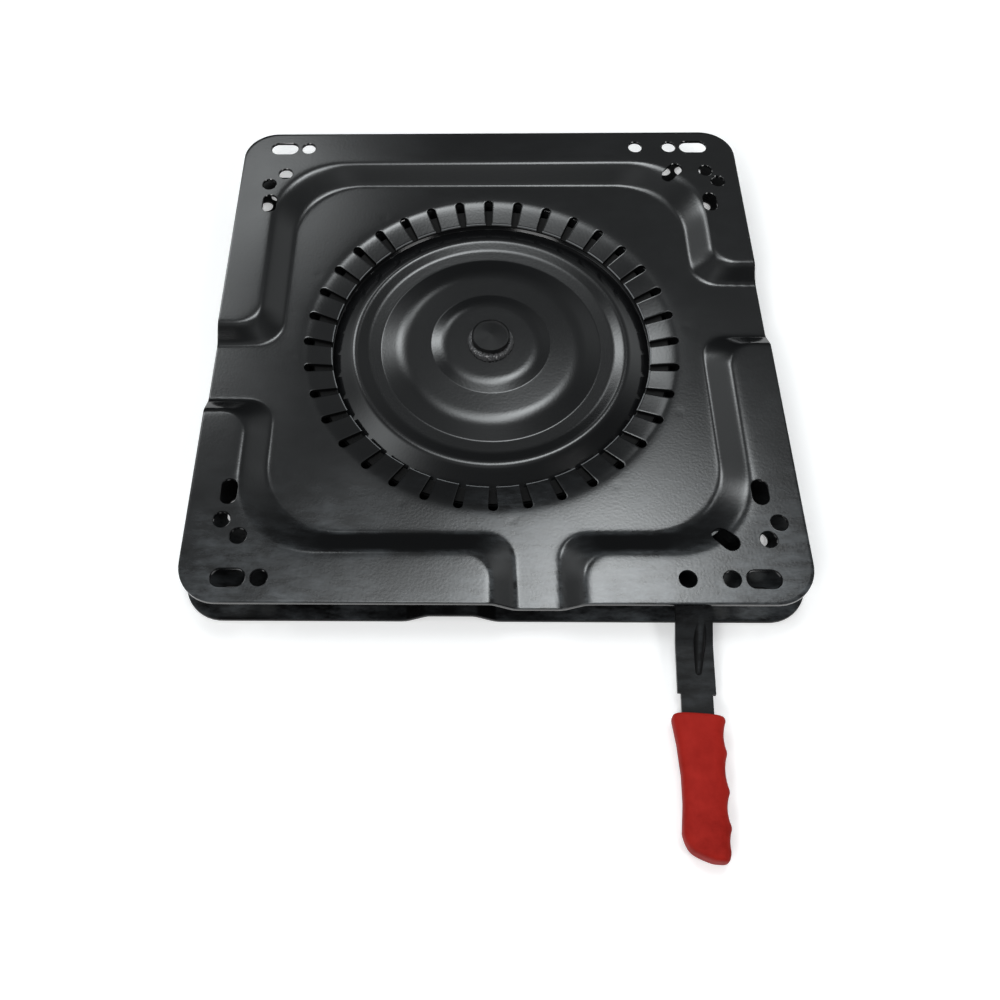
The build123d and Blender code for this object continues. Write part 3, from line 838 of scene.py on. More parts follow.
@dataclass
class PressedPlate:
    """One of the two square pressings, as a height over the plane on a grid of sectors.

    The grid's columns are angles about the swivel axis, split into one sector for each tab, and its rows
    run outwards. The lower plate is the same pressing turned over about Y.
    """

    side: PlateSide
    thickness: float = 2.5
    pad_height: float = 8.0
    corner_r: float = 24.0
    edge_r: float = 0.5
    field_half: float = 139.5
    pad_half: float = 154.5
    field_corner_r: float = 48.0
    pad_corner_r: float = 50.0
    mouth_r: float = 17.0
    channel_shift: float = 25.0
    side_channel: tuple[float, float] = (22.0, 33.5)
    front_channel: tuple[float, float] = (13.5, 26.0)
    bends: tuple[float, float] = (0.05, 0.11)
    tab_count: int = 36
    tab_tip_r: float = 106.0
    fold_r: float = 123.0
    fold_drop: float = 5.0
    fold_softness: float = 3.2
    slot_end_r: float = 121.9
    slot_outer_w: float = 6.0
    slot_inner_w: float = 4.4
    join_r: float = 131.0
    pin_hole_r: float = 12.6
    well_floor_r: float = 121.0
    well_wall_r: float = 130.0
    well_rise: float = 7.5
    plateau_r: float = 104.5
    plateau_foot_r: float = 106.0
    spot_r: float = 131.5
    spot_count: int = 12
    spot_depth: float = 0.04
    spot_size: float = 2.6
    # Radii and steepness of the slot walls that take the painted shade, dark paint where only shade falls
    slot_shade_ring: Ring = Ring(106.6, 126.5)
    slot_shade_flattest: float = 0.35
    hole_d: float = 10.0
    main_slot: tuple[float, float] = (153.0, 171.0)
    main_slot_size: tuple[float, float] = (20.0, 11.0)
    inner_hole_x: float = 135.0
    extra_hole_x: float = 110.0
    side_slot: tuple[float, float] = (159.0, 116.0)
    side_slot_len: float = 16.5
    diagonal_slot: tuple[float, float] = (135.0, 146.0)
    diagonal_slot_len: float = 17.0
    corner_holes: tuple[tuple[float, float], ...] = (
        (159.5, 146.6),
        (167.2, 136.0),
        (-150.0, 145.0),
        (-161.0, 134.6),
    )
    bevel_deg: float = 50.0
    sharp_deg: float = 27.0
    weld_m: float = 2e-6
    columns: int = 15
    outer_rows: int = 54

    def __post_init__(self) -> None:
        """Takes the plate's outer size and levels from the frame."""
        low, high = (np.array(corner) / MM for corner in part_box(self.side.value))
        upper_high = np.array(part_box(PlateSide.UPPER.value)[1]) / MM
        self.half_x = (high[0] - low[0]) / 2
        self.half_y = (high[1] - low[1]) / 2
        self.total_h = upper_high[2]
        self.field_z = self.total_h - self.pad_height
        pin_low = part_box("center_pin")[0][2] / MM
        self.plateau_drop = self.well_rise - (self.total_h - pin_low - self.field_z)

    def outline_distance(self, x: np.ndarray, y: np.ndarray, level: int) -> np.ndarray:
        """Signed distance to the pressed field's outline, with its three channels.

        Args:
            x: X coordinates.
            y: Y coordinates.
            level: 0 for the outline on the field's floor, 1 for the one at the pads' level.

        Returns:
            Distance, negative inside the field or a channel.
        """
        half = (self.field_half, self.pad_half)[level]
        corner = (self.field_corner_r, self.pad_corner_r)[level]
        shape = rounded_box(x, y, half, half, corner)
        for sign in (-1.0, 1.0):
            strip = np.maximum(np.abs(y - sign * self.channel_shift) - self.side_channel[level], -sign * x)
            shape = round_union(shape, strip, self.mouth_r)
        front = np.maximum(np.abs(x - self.channel_shift) - self.front_channel[level], y)
        return round_union(shape, front, self.mouth_r)

    def centre_height(self, radius: np.ndarray) -> np.ndarray:
        """Height that the middle adds: the folded tabs' drop, or the well's rise in the turned plate."""
        if self.side is PlateSide.UPPER:
            slope = self.fold_drop / (self.fold_r - self.tab_tip_r)
            return -slope * soft_positive(self.fold_r - radius, self.fold_softness)
        wall = soft_ramp((self.well_wall_r - radius) / (self.well_wall_r - self.well_floor_r), 0.25, 0.25)
        step = soft_ramp((self.plateau_foot_r - radius) / (self.plateau_foot_r - self.plateau_r), 0.3, 0.3)
        return self.well_rise * wall - self.plateau_drop * step

    def height(self, x: np.ndarray, y: np.ndarray) -> np.ndarray:
        """Height of the pads-up side.

        The wall between the field's outline and the pads' is a soft ramp in the share of the way across,
        d0 / (d0 - d1). Spot welds are small round dents in the field.

        Args:
            x: X coordinates.
            y: Y coordinates.

        Returns:
            Heights in the upper plate's place.
        """
        floor = self.outline_distance(x, y, 0)
        rim = self.outline_distance(x, y, 1)
        share = floor / np.maximum(floor - rim, 1e-3)
        radius, angle = np.hypot(x, y), np.arctan2(y, x)
        pitch = 2 * np.pi / self.spot_count
        around = (np.mod(angle + pitch / 3, pitch) - pitch / 2) * self.spot_r
        spot = np.exp(-(around**2 + (radius - self.spot_r) ** 2) / self.spot_size**2)
        return (
            self.field_z
            + self.pad_height * soft_ramp(share, *self.bends)
            + self.centre_height(radius)
            - self.spot_depth * spot
        )

    def edge_radius(self, angle: np.ndarray) -> np.ndarray:
        """Distance from the axis to the plate's edge, by halving an interval on every ray.

        Args:
            angle: Ray angles.

        Returns:
            Distance along each ray.
        """
        near = np.full_like(angle, self.join_r)
        far = np.full_like(angle, self.half_x + self.half_y)
        for _ in range(40):
            middle = (near + far) / 2
            distance = rounded_box(
                middle * np.cos(angle), middle * np.sin(angle), self.half_x, self.half_y, self.corner_r
            )
            near = np.where(distance < 0, middle, near)
            far = np.where(distance < 0, far, middle)
        return (near + far) / 2

    def inner_rows(self) -> tuple[np.ndarray, np.ndarray]:
        """Radii of the rows inside the joint circle, and half the tab slot's width on each.

        The rows crowd where the section bends.

        Returns:
            Radii and half widths: the slot narrows inwards and ends outwards in a half circle.
        """
        if self.side is PlateSide.LOWER:
            radii = np.concatenate(
                [
                    np.linspace(self.pin_hole_r, self.plateau_r - 4, 8),
                    np.linspace(self.plateau_r - 2.5, self.plateau_foot_r + 2.5, 14),
                    np.linspace(self.plateau_foot_r + 5, self.well_floor_r - 4, 3),
                    np.linspace(self.well_floor_r - 3, self.well_wall_r + 0.5, 16),
                ]
            )
            return radii, np.zeros_like(radii)
        taper = np.linspace(self.tab_tip_r, self.slot_end_r, 12)[:-1]
        share = (taper - self.tab_tip_r) / (self.slot_end_r - self.tab_tip_r)
        taper_half = (self.slot_inner_w + share * (self.slot_outer_w - self.slot_inner_w)) / 2
        turn = np.linspace(0.0, np.pi / 2, 8)
        round_r = self.slot_end_r + self.slot_outer_w / 2 * np.sin(turn)
        round_half = self.slot_outer_w / 2 * np.cos(turn)
        plain = np.linspace(round_r[-1], self.join_r, 7)[1:-1]
        radii = np.concatenate([taper, round_r, plain])
        return radii, np.concatenate([taper_half, round_half, np.zeros_like(plain)])

    def sector_grid(self) -> np.ndarray:
        """Points of every sector: sector by column by row, the columns closing in beside a slot.

        Returns:
            Array of shape (tab_count, columns + 1, rows, 3).
        """
        half_turn = np.pi / self.tab_count
        radii, slot_half = self.inner_rows()
        across = np.linspace(-1.0, 1.0, self.columns + 1)[None, :, None]
        middle = (2 * np.arange(self.tab_count) + 1)[:, None, None] * half_turn
        half_open = half_turn - np.arcsin(slot_half / radii)
        inner_angle = middle + across * half_open[None, None, :]
        inner_radius = np.broadcast_to(radii, inner_angle.shape)
        outward = np.linspace(0.0, 1.0, self.outer_rows)[None, None, :]
        outer_angle = middle + across * half_turn + 0 * outward
        edge = self.edge_radius(outer_angle[..., :1])
        outer_radius = self.join_r + (edge - self.join_r) * outward
        angle = np.concatenate([inner_angle, outer_angle], -1)
        radius = np.concatenate([inner_radius, outer_radius], -1)
        x, y = radius * np.cos(angle), radius * np.sin(angle)
        return np.stack([x, y, self.height(x, y)], -1)

    def holes(self) -> list[PadHole]:
        """The pads' holes, the same at the front and the back.

        Returns:
            Main slots, their neighbours, side slots, corner pairs and the right side's diagonal slots.
        """
        found = []
        slot_x, slot_y = self.main_slot
        side_x, side_y = self.side_slot
        diagonal_x, diagonal_y = self.diagonal_slot
        wide = self.hole_d
        for back in (-1.0, 1.0):
            found.append(PadHole(self.extra_hole_x, back * slot_y, wide, wide))
            found.append(PadHole(diagonal_x, back * diagonal_y, self.diagonal_slot_len, wide, back * 45.0))
            for x, y in self.corner_holes:
                found.append(PadHole(x, back * y, wide, wide))
            for right in (-1.0, 1.0):
                found.append(PadHole(right * slot_x, back * slot_y, *self.main_slot_size))
                found.append(PadHole(right * self.inner_hole_x, back * slot_y, wide, wide))
                found.append(PadHole(right * side_x, back * side_y, self.side_slot_len, wide, 90.0))
        return found

    def cutter(self) -> bpy.types.Object:
        """Plugs through the pads, one for each hole, as one mesh.

        A plug widens by a chamfer at either side of the sheet, which breaks the hole's edges.

        Returns:
            The cutter object.
        """
        edge, top, bottom = self.edge_r, self.total_h, self.total_h - self.thickness
        levels = (bottom - self.thickness, bottom, bottom + edge, top - edge, top, top + self.thickness)
        growth = (edge, edge, 0.0, 0.0, edge, edge)
        points, faces, start = [], [], 0
        for hole in self.holes():
            count = len(hole.outline())
            for level, more in zip(levels, growth):
                points.append(np.column_stack([hole.outline(more), np.full(count, level)]))
            side = grid_faces(len(levels), count, False, True)[:, ::-1]
            last = np.arange(count) + (len(levels) - 1) * count
            faces += (side + start).tolist()
            faces += [(np.arange(count)[::-1] + start).tolist(), (last + start).tolist()]
            start += count * len(levels)
        return new_object("pad_cutter", np.concatenate(points), faces)

    def build(self) -> bpy.types.Object:
        """Builds the plate: welded sheet, thickness, softened edges and holes.

        Returns:
            The plate object.
        """
        grid = self.sector_grid()
        sectors, columns, rows, _ = grid.shape
        patch = grid_faces(columns, rows, False, False)
        faces = (patch[None] + (np.arange(sectors) * columns * rows)[:, None, None]).reshape(-1, 4)
        made = new_object("plate_" + self.side.name.lower(), grid, faces[:, ::-1])
        weld(made, self.weld_m)
        if made.data.polygons[0].normal.z < 0:
            made.data.flip_normals()
        wall = made.modifiers.new("wall", "SOLIDIFY")
        wall.thickness = self.thickness * MM
        wall.offset = -1.0
        wall.use_even_offset = True
        soften = made.modifiers.new("edges", "BEVEL")
        soften.width = self.edge_r * MM
        soften.segments = 2
        soften.limit_method = "ANGLE"
        soften.angle_limit = math.radians(self.bevel_deg)
        cutter = self.cutter()
        cut = made.modifiers.new("holes", "BOOLEAN")
        cut.object = cutter
        cut.operation = "DIFFERENCE"
        cut.solver = "EXACT"
        bake_modifiers(made, self.sharp_deg)
        bpy.data.objects.remove(cutter)
        if self.side is PlateSide.LOWER:
            self.turn_over(made)
        return made

    def turn_over(self, made: bpy.types.Object) -> None:
        """Turns the plate's points half round about Y: x to -x and z to the total height less z."""
        points = np.zeros(len(made.data.vertices) * 3)
        made.data.vertices.foreach_get("co", points)
        points = points.reshape(-1, 3)
        points[:, 0] *= -1
        points[:, 2] = self.total_h * MM - points[:, 2]
        made.data.vertices.foreach_set("co", points.ravel())
        made.data.update()


@dataclass
class SwivelDisc:
    """The dished disc: boss, steps, shoulder, cone and sloped rim, turned from one section.

    A corner is its radius, its height over the boss and the radius of its bend.
    """

    thickness: float = 2.5
    corners: tuple[tuple[float, float, float], ...] = (
        (31.0, 0.0, 36.0),
        (39.7, -1.8, 4.0),
        (59.0, -2.0, 44.0),
        (73.5, -5.6, 4.0),
        (82.0, -5.0, 14.0),
        (91.2, -2.4, 8.0),
        (106.3, -10.2, 0.5),
        (107.8, -7.85, 0.5),
    )
    pin_hole_r: float = 12.6
    rim_r: float = 119.0
    rim_slope: float = 5.0 / 17.0
    # Radii of the rim under the tabs that take the painted shade, dark paint where only shade falls
    rim_shade_ring: Ring = Ring(107.9, 120.0)
    sharp_deg: float = 40.0
    steps: int = 288

    def build(self) -> bpy.types.Object:
        """Turns the section about the axis.

        Returns:
            The disc object.
        """
        top = np.array(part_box("swivel_disc")[1])[2] / MM
        foot_r, foot_z, _ = self.corners[-1]
        points = [(self.pin_hole_r, top)]
        points += [(r, top + z) for r, z, _ in self.corners]
        points += [(self.rim_r, top + foot_z + (self.rim_r - foot_r) * self.rim_slope)]
        radii = [bend for _, _, bend in self.corners]
        line = rounded_line(points, radii, arc_steps=10, run_steps=4)
        loop = sheet_section(line, self.thickness)
        grid = turned_grid(loop, self.steps)
        made = new_object("disc", grid, grid_faces(self.steps, len(loop), True, True))
        weld(made)
        mark_sharp(made, self.sharp_deg)
        return made


@dataclass
class CenterPin:
    """The stub in the middle, with a lumpy weld bead round its foot on the disc."""

    radius: float = 12.5
    edge_r: float = 1.2
    foot_r: float = 18.0
    foot_h: float = 3.0
    sheet_t: float = 2.5
    bead_r: float = 2.6
    bead_out: float = 0.6
    bead_up: float = 0.35
    least_bead_r: float = 0.5
    lump: float = 1.1
    sharp_deg: float = 40.0
    steps: int = 96
    bead_steps: int = 240
    bead_sides: int = 28

    def build_stub(self) -> bpy.types.Object:
        """Turns the stub's section: a footed bar with a rounded top edge.

        Returns:
            The stub object.
        """
        low, high = (np.array(corner)[2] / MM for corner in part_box("center_pin"))
        line = rounded_line(
            [
                (0.0, low),
                (self.radius, low),
                (self.radius, low + self.sheet_t),
                (self.foot_r, low + self.sheet_t),
                (self.foot_r, low + self.sheet_t + self.foot_h),
                (self.radius, low + self.sheet_t + self.foot_h),
                (self.radius, high),
                (0.0, high),
            ],
            [0.4, 0.3, 0.5, 0.5, 0.5, self.edge_r],
            arc_steps=10,
            run_steps=12,
        )
        grid = turned_grid(line, self.steps)
        made = new_object("pin_stub", grid, grid_faces(self.steps, len(line), True, False))
        weld(made)
        mark_sharp(made, self.sharp_deg)
        return made

    def build_bead(self) -> bpy.types.Object:
        """A ring of weld: a round section whose size and place wander along the seam.

        Returns:
            The bead object.
        """
        boss_z = np.array(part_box("swivel_disc")[1])[2] / MM
        angle, turn = np.meshgrid(
            np.linspace(0, 2 * np.pi, self.bead_steps, endpoint=False),
            np.linspace(0, 2 * np.pi, self.bead_sides, endpoint=False),
            indexing="ij",
        )
        pulses = 0.35 * np.abs(np.sin(11 * angle)) + 0.25 * np.sin(3 * angle + 0.8)
        rough = 0.2 * ripple(angle * 5, turn * 0.8, 4)
        front = 0.5 - 0.5 * np.sin(angle)
        section = self.bead_r * (0.55 + 0.45 * front) + self.lump * (pulses + rough) * (0.3 + front)
        section = np.maximum(section, self.least_bead_r)
        ring = self.radius + self.bead_out + section * np.cos(turn)
        height = boss_z + self.bead_up + section * np.sin(turn)
        points = np.stack([ring * np.cos(angle), ring * np.sin(angle), height], -1)
        made = new_object("pin_weld", points, grid_faces(self.bead_steps, self.bead_sides, True, True))
        weld(made)
        return made


@dataclass
class Grip:
    """The moulded grip: a rounded section whose two side lines carry the finger grooves and the collar."""

    reach: float = 126.0
    length: float = 72.5
    bump_reach: tuple[float, ...] = (2.5, 19.0, 38.5, 56.0, 66.5)
    bump_width: tuple[float, ...] = (14.5, 14.3, 14.4, 14.1, 12.7)
    groove_depth: tuple[float, ...] = (1.6, 1.9, 2.0, 0.8)
    palm_reach: tuple[float, ...] = (0.0, 3.0, 15.0, 31.0, 45.0, 60.0, 64.0, 66.5, 68.7, 70.8, 72.0, 72.5)
    palm_width: tuple[float, ...] = (14.4, 14.4, 12.3, 10.6, 10.4, 11.5, 10.3, 8.9, 7.0, 2.8, -0.5, -1.5)
    squareness: float = 3.4
    cap_len: tuple[float, float] = (3.0, 6.0)
    cap_inset: tuple[float, float] = (1.6, 2.5)
    waist: float = 0.1
    sharp_deg: float = 50.0
    rows: int = 150
    sides: int = 72

    def side_lines(self, along: np.ndarray) -> tuple[np.ndarray, np.ndarray]:
        """Right and left edges of the grip in plan.

        The right edge is a slow taper less four scallops, |sin| arches between the finger bumps. The left
        edge is a hollow curve that closes towards the right at the end.

        Args:
            along: Distance from the collar.

        Returns:
            Right and left edge positions across the lever.
        """
        crest = np.interp(along, self.bump_reach, self.bump_width)
        groove = np.interp(along, self.bump_reach, np.arange(len(self.bump_reach), dtype=float))
        depth = np.array((*self.groove_depth, 0.0))[np.floor(groove).astype(int)]
        right = crest - depth * np.abs(np.sin(np.pi * groove)) ** 0.8
        left = -np.interp(along, self.palm_reach, self.palm_width)
        return right, left

    def build(self) -> bpy.types.Object:
        """Carries a superellipse section along the grip and rounds both ends.

        Returns:
            The grip object.
        """
        low, high = (np.array(corner)[2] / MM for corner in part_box("lever_grip"))
        along = 0.5 * (1 - np.cos(np.linspace(0, np.pi, self.rows)))
        along = (0.35 * along + 0.65 * np.linspace(0, 1, self.rows)) * self.length
        right, left = (self.soften(edge) for edge in self.side_lines(along))
        start_round = self.cap_round(along / self.cap_len[0])
        end_round = self.cap_round((self.length - along) / self.cap_len[1])
        middle, half = (right + left) / 2, (right - left) / 2
        half = half - self.cap_inset[0] * (1 - start_round) - self.cap_inset[1] * (1 - end_round)
        deep = (high - low) / 2 * (0.86 + 0.14 * start_round) * (0.55 + 0.45 * end_round)
        deep = deep * (1 - self.waist * np.sin(np.pi * along / self.length))
        turn = np.linspace(0, 2 * np.pi, self.sides, endpoint=False)
        power = 2.0 / self.squareness
        cosine = np.sign(np.cos(turn)) * np.abs(np.cos(turn)) ** power
        sine = np.sign(np.sin(turn)) * np.abs(np.sin(turn)) ** power
        x = middle[:, None] + half[:, None] * cosine[None]
        z = (low + high) / 2 + deep[:, None] * sine[None]
        y = -(self.reach + along)[:, None] + 0 * x
        points = lever_place(np.stack([x, y, z], -1))
        made = new_object("grip", points, capped_tube_faces(self.rows, self.sides))
        weld(made)
        mark_sharp(made, self.sharp_deg)
        return made

    @staticmethod
    def cap_round(share: np.ndarray) -> np.ndarray:
        """Quarter circle over a cap: from 0 at its end to 1 where the share of its length reaches 1."""
        return np.sqrt(np.maximum(1 - (1 - np.clip(share, 0, 1)) ** 2, 0))

    @staticmethod
    def soften(edge: np.ndarray) -> np.ndarray:
        """Rounds an edge line's corners by a short running mean."""
        width = 5
        padded = np.pad(edge, width // 2, mode="edge")
        return np.convolve(padded, np.ones(width) / width, "valid")


@dataclass
class LeverSpring:
    """The tension spring: one wire from the hook in the lever's ear, through the coil, round the post."""

    wire_r: float = 0.6
    coil_r: float = 1.9
    turns: int = 30
    ear: tuple[float, float] = (-24.0, -3.0)
    coil_start: float = 7.0
    coil_end: float = 44.0
    post_reach: float = 53.0
    level: float = 13.1
    hook_level: float = 15.7
    hook_bend_r: float = 0.9
    hook_drop: tuple[float, float] = (12.0, 13.2)
    loop_r: float = 2.85
    turn_steps: int = 20
    loop_steps: int = 40
    wire_sides: int = 8

    def wire(self) -> np.ndarray:
        """The wire's centre line, in the lever's frame: across, along and up.

        Returns:
            Points: a hook dropped into the ear, a helix, and a loop round the post.
        """
        turn = np.linspace(0.0, 2 * np.pi * self.turns, self.turns * self.turn_steps)
        share = turn / turn[-1]
        reach = self.coil_start + (self.coil_end - self.coil_start) * share
        coil = np.stack([self.coil_r * np.sin(turn), -reach, self.level + self.coil_r * np.cos(turn)], 1)
        bend = self.hook_bend_r
        swing = np.linspace(0, np.pi / 2, 8)
        lift = self.hook_level - bend
        hook = np.concatenate(
            [
                np.array([[0.0, 0.0, level] for level in (*self.hook_drop, lift - 0.2)]),
                np.stack([0 * swing, -bend + bend * np.cos(swing), lift + bend * np.sin(swing)], 1),
                np.array([[0.0, -3.0, self.hook_level], [0.0, -5.0, self.hook_level - 0.3]]),
            ]
        )
        round_post = np.linspace(np.pi / 2, np.pi / 2 - 1.9 * np.pi, self.loop_steps)
        loop = np.stack(
            [
                self.loop_r * np.cos(round_post),
                -self.post_reach + self.loop_r * np.sin(round_post),
                np.full(self.loop_steps, self.level),
            ],
            1,
        )
        lead = np.array([[0.0, -self.coil_end - 1.5, self.level + 0.6]])
        return np.concatenate([hook, coil, lead, loop])

    def placed(self, path: np.ndarray) -> np.ndarray:
        """Moves points that are counted from the ear to their place.

        Args:
            path: Points across, along and up.

        Returns:
            Points in the part's frame.
        """
        return lever_place(path + np.array([*self.ear, 0.0]))

    def fit(self, made: bpy.types.Object, material: bpy.types.Material) -> None:
        """Gives the spring its material, bakes its place and hides the CAD spring.

        Args:
            made: The spring object.
            material: Its material.
        """
        dress(made, material)
        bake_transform(made)
        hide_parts("lever_spring")
        log.info("%s runs from %s to %s", made.name, LEVER_BODY, BASE_BODY)

    def build(self) -> bpy.types.Object:
        """Carries the wire's round section along its line.

        Returns:
            The spring object.
        """
        line = self.placed(self.wire())
        grid = tube_grid(line, self.wire_r, self.wire_sides)
        made = new_object("spring_wire", grid, capped_tube_faces(len(line), self.wire_sides))
        weld(made)
        return made


@dataclass
class Hardware:
    """CAD nodes that keep their own shape and only take a finish."""

    finishes: Finishes

    def dress(self, nodes: dict[str, bpy.types.Object]) -> None:
        """Gives each kept node its material.

        Args:
            nodes: The frame's nodes by name.
        """
        chosen = {
            "retaining_ring": self.finishes.plate,
            "lever_guide": self.finishes.plate,
            "lock_lever": self.finishes.lever,
            "upper_glide_ring": self.finishes.glide,
            "lower_glide_ring": self.finishes.glide,
            "lever_pivot_rivet": self.finishes.steel,
            "pivot_washer_lower": self.finishes.steel,
            "pivot_washer_upper": self.finishes.steel,
            "spring_post": self.finishes.steel,
            "guide_rivets": self.finishes.steel,
        }
        for name, material in chosen.items():
            dress(nodes[name], material)
            log.info("%s keeps its shape", name)


@dataclass(frozen=True)
class SkyGlow:
    """A soft patch of light in the sky, strongest in one direction."""

    heading: tuple[float, float, float]
    radiance: float
    spread_rad: float

    def add_to(self, tree: bpy.types.NodeTree, heading: bpy.types.NodeSocket) -> bpy.types.NodeSocket:
        """Adds the patch's nodes: radiance times exp((cos(angle) - 1) / spread^2).

        Args:
            tree: The world's nodes.
            heading: Socket with the direction looked at.

        Returns:
            The patch's radiance socket.
        """
        aim = mathutils.Vector(self.heading).normalized()
        tightness = 1.0 / self.spread_rad**2
        cosine = tree.nodes.new("ShaderNodeVectorMath")
        cosine.operation = "DOT_PRODUCT"
        cosine.inputs[1].default_value = aim
        tree.links.new(heading, cosine.inputs[0])
        steps = (
            ("MULTIPLY_ADD", tightness, -tightness),
            ("EXPONENT", 0.0, 0.0),
            ("MULTIPLY", self.radiance, 0.0),
        )
        value = cosine.outputs["Value"]
        for operation, second, third in steps:
            node = tree.nodes.new("ShaderNodeMath")
            node.operation = operation
            node.inputs[1].default_value = second
            node.inputs[2].default_value = third
            tree.links.new(value, node.inputs[0])
            value = node.outputs["Value"]
        return value


@dataclass(frozen=True)
class SoftPanel:
    """A soft rectangular lamp that faces the origin, in metres and watts."""

    name: str
    at: tuple[float, float, float]
    size: tuple[float, float]
    watts: float

    def hang(self) -> None:
        """Adds the lamp to the scene."""
        data = bpy.data.lights.new(self.name, "AREA")
        data.shape = "RECTANGLE"
        data.size, data.size_y = self.size
        data.energy = self.watts
        lamp = bpy.data.objects.new(self.name, data)
        bpy.context.scene.collection.objects.link(lamp)
        lamp.location = self.at
        lamp.rotation_mode = "QUATERNION"
        lamp.rotation_quaternion = (-mathutils.Vector(self.at)).to_track_quat("-Z", "Y")


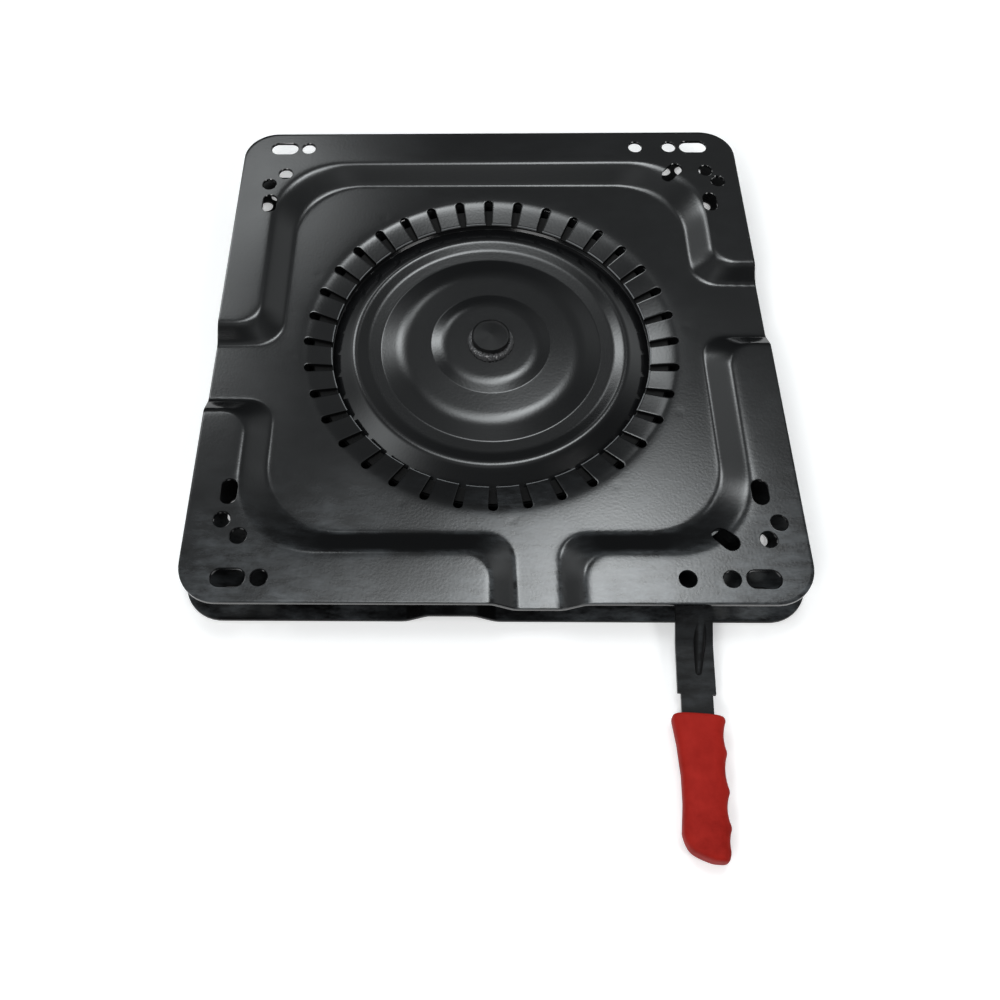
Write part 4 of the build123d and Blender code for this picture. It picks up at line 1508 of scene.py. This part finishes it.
@dataclass
class Studio:
    """Pale floor, soft lights and the camera at the photograph's angle."""

    image_px: float = 1000.0
    focal_px: float = 1135.76
    centre_px: tuple[float, float] = (446.03, 300.0)
    camera_at: tuple[float, float, float] = (-12.885, -434.19, 640.94)
    camera_turn: tuple[float, float, float] = (0.6458, 0.0189, 0.0118)
    sensor_mm: float = 36.0
    clip_m: tuple[float, float] = (0.01, 100.0)
    floor_half: float = 40.0
    floor_grey: float = 0.9
    floor_glow: float = 0.3
    sky: tuple[float, float] = (0.02, 0.1)
    sky_colour: tuple[float, float, float] = (0.945, 0.985, 1.0)
    panels: tuple[SoftPanel, ...] = (
        SoftPanel("front_left", (-0.9, -1.5, 1.5), (0.8, 0.6), 16.0),
        SoftPanel("front_right", (1.3, -1.0, 1.4), (0.6, 0.6), 10.0),
    )
    glows: tuple[SkyGlow, ...] = (
        SkyGlow((0.112, 0.39, 0.914), 12.5, 0.065),
        SkyGlow((-0.05, 0.29, 0.956), 5.0, 0.08),
        SkyGlow((0.06, 0.25, 0.966), 6.0, 0.06),
        SkyGlow((-0.05, 0.56, 0.83), 0.2, 0.08),
        SkyGlow((0.2, 0.62, 0.75), 0.18, 0.2),
        SkyGlow((-0.17, 0.67, 0.72), 4.0, 0.045),
        SkyGlow((-0.34, 0.58, 0.74), 10.0, 0.07),
        SkyGlow((-0.66, -0.08, 0.75), 2.6, 0.18),
        SkyGlow((0.0, -0.12, 0.99), 0.4, 0.13),
        SkyGlow((-0.62, 0.56, 0.55), 1.1, 0.2),
        SkyGlow((0.7, 0.57, 0.43), 1.1, 0.22),
        SkyGlow((0.0, 0.1, 1.0), 0.3, 0.3),
    )

    def build_floor(self) -> None:
        """Makes the floor, whose pale colour the camera and reflections see a little brighter."""
        half = self.floor_half / MM
        corners = np.array([[-half, -half, 0.0], [half, -half, 0.0], [half, half, 0.0], [-half, half, 0.0]])
        floor = new_object("floor", corners, [[0, 1, 2, 3]])
        material = bpy.data.materials.new("floor_pale")
        material.use_nodes = True
        tree = material.node_tree
        shader = tree.nodes["Principled BSDF"]
        shader.inputs["Base Color"].default_value = (*[self.floor_grey] * 3, 1.0)
        shader.inputs["Roughness"].default_value = 0.9
        shader.inputs["Specular IOR Level"].default_value = 0.1
        rays = tree.nodes.new("ShaderNodeLightPath")
        glow = rays.outputs["Is Camera Ray"]
        for name in ("Is Glossy Ray", "Is Transmission Ray"):
            either = tree.nodes.new("ShaderNodeMath")
            either.operation = "MAXIMUM"
            tree.links.new(glow, either.inputs[0])
            tree.links.new(rays.outputs[name], either.inputs[1])
            glow = either.outputs["Value"]
        share = tree.nodes.new("ShaderNodeMath")
        share.operation = "MULTIPLY"
        share.inputs[1].default_value = self.floor_glow
        tree.links.new(glow, share.inputs[0])
        shader.inputs["Emission Color"].default_value = (1.0, 1.0, 1.0, 1.0)
        tree.links.new(share.outputs["Value"], shader.inputs["Emission Strength"])
        floor.data.materials.append(material)

    def build_world(self) -> None:
        """Makes the sky: a dark grey that brightens towards the zenith, with the patches of light in it."""
        world = bpy.data.worlds.new("studio")
        bpy.context.scene.world = world
        world.use_nodes = True
        tree = world.node_tree
        back = tree.nodes["Background"]
        heading = tree.nodes.new("ShaderNodeTexCoord").outputs["Generated"]
        split = tree.nodes.new("ShaderNodeSeparateXYZ")
        ramp = tree.nodes.new("ShaderNodeMapRange")
        for key, number in zip(("From Min", "From Max", "To Min", "To Max"), (0.0, 1.0, *self.sky)):
            ramp.inputs[key].default_value = number
        tree.links.new(heading, split.inputs["Vector"])
        tree.links.new(split.outputs["Z"], ramp.inputs["Value"])
        level = ramp.outputs["Result"]
        for glow in self.glows:
            total = tree.nodes.new("ShaderNodeMath")
            total.operation = "ADD"
            tree.links.new(level, total.inputs[0])
            tree.links.new(glow.add_to(tree, heading), total.inputs[1])
            level = total.outputs["Value"]
        tree.links.new(level, back.inputs["Strength"])
        back.inputs["Color"].default_value = (*self.sky_colour, 1.0)

    def build_camera(self) -> None:
        """Sets the camera: focal length and shift from the pixel focal length and principal point."""
        data = bpy.data.cameras.new("camera")
        data.sensor_width = self.sensor_mm
        data.lens = self.sensor_mm * self.focal_px / self.image_px
        data.shift_x = 0.5 - self.centre_px[0] / self.image_px
        data.shift_y = self.centre_px[1] / self.image_px - 0.5
        data.clip_start, data.clip_end = self.clip_m
        camera = bpy.data.objects.new("camera", data)
        bpy.context.scene.collection.objects.link(camera)
        camera.location = [MM * value for value in self.camera_at]
        camera.rotation_euler = self.camera_turn
        bpy.context.scene.camera = camera

    def build(self) -> None:
        """Builds the whole studio."""
        self.build_floor()
        self.build_world()
        for panel in self.panels:
            panel.hang()
        self.build_camera()
        bpy.context.scene.view_settings.view_transform = "Standard"


def clear_scene() -> None:
    """Removes the start-up objects."""
    for start_object in list(bpy.data.objects):
        bpy.data.objects.remove(start_object)


def main() -> None:
    """Builds the dressed part around its frame, and the studio."""
    logging.basicConfig(level=logging.INFO, format="%(message)s")
    clear_scene()
    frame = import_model()
    finishes = Finishes()
    upper = PressedPlate(PlateSide.UPPER)
    top = adopt(upper.build(), UPPER_BODY, Slot.PLATE, finishes.plate, "upper_plate")
    # The slot walls get the painted shade: dark paint where only shade falls
    upper.slot_shade_ring.coat(top, finishes.gap, upper.slot_shade_flattest)
    lower = PressedPlate(PlateSide.LOWER, columns=13)
    adopt(lower.build(), BASE_BODY, Slot.PLATE, finishes.lower, "lower_plate")
    disc = SwivelDisc()
    dish = adopt(disc.build(), BASE_BODY, Slot.PLATE, finishes.disc, "swivel_disc")
    # The disc rim under the tabs gets the painted shade: dark paint where only shade falls
    disc.rim_shade_ring.coat(dish, finishes.gap)
    pin = CenterPin()
    adopt(pin.build_stub(), BASE_BODY, Slot.PLATE, finishes.pin, "center_pin")
    adopt(pin.build_bead(), BASE_BODY, Slot.PLATE, finishes.weld)
    adopt(Grip().build(), LEVER_BODY, Slot.GRIP, finishes.grip, "lever_grip")
    spring = LeverSpring()
    spring.fit(spring.build(), finishes.steel)
    Hardware(finishes).dress(frame["nodes"])
    Studio().build()
    bpy.context.view_layer.update()


if __name__ == "__main__":
    main()
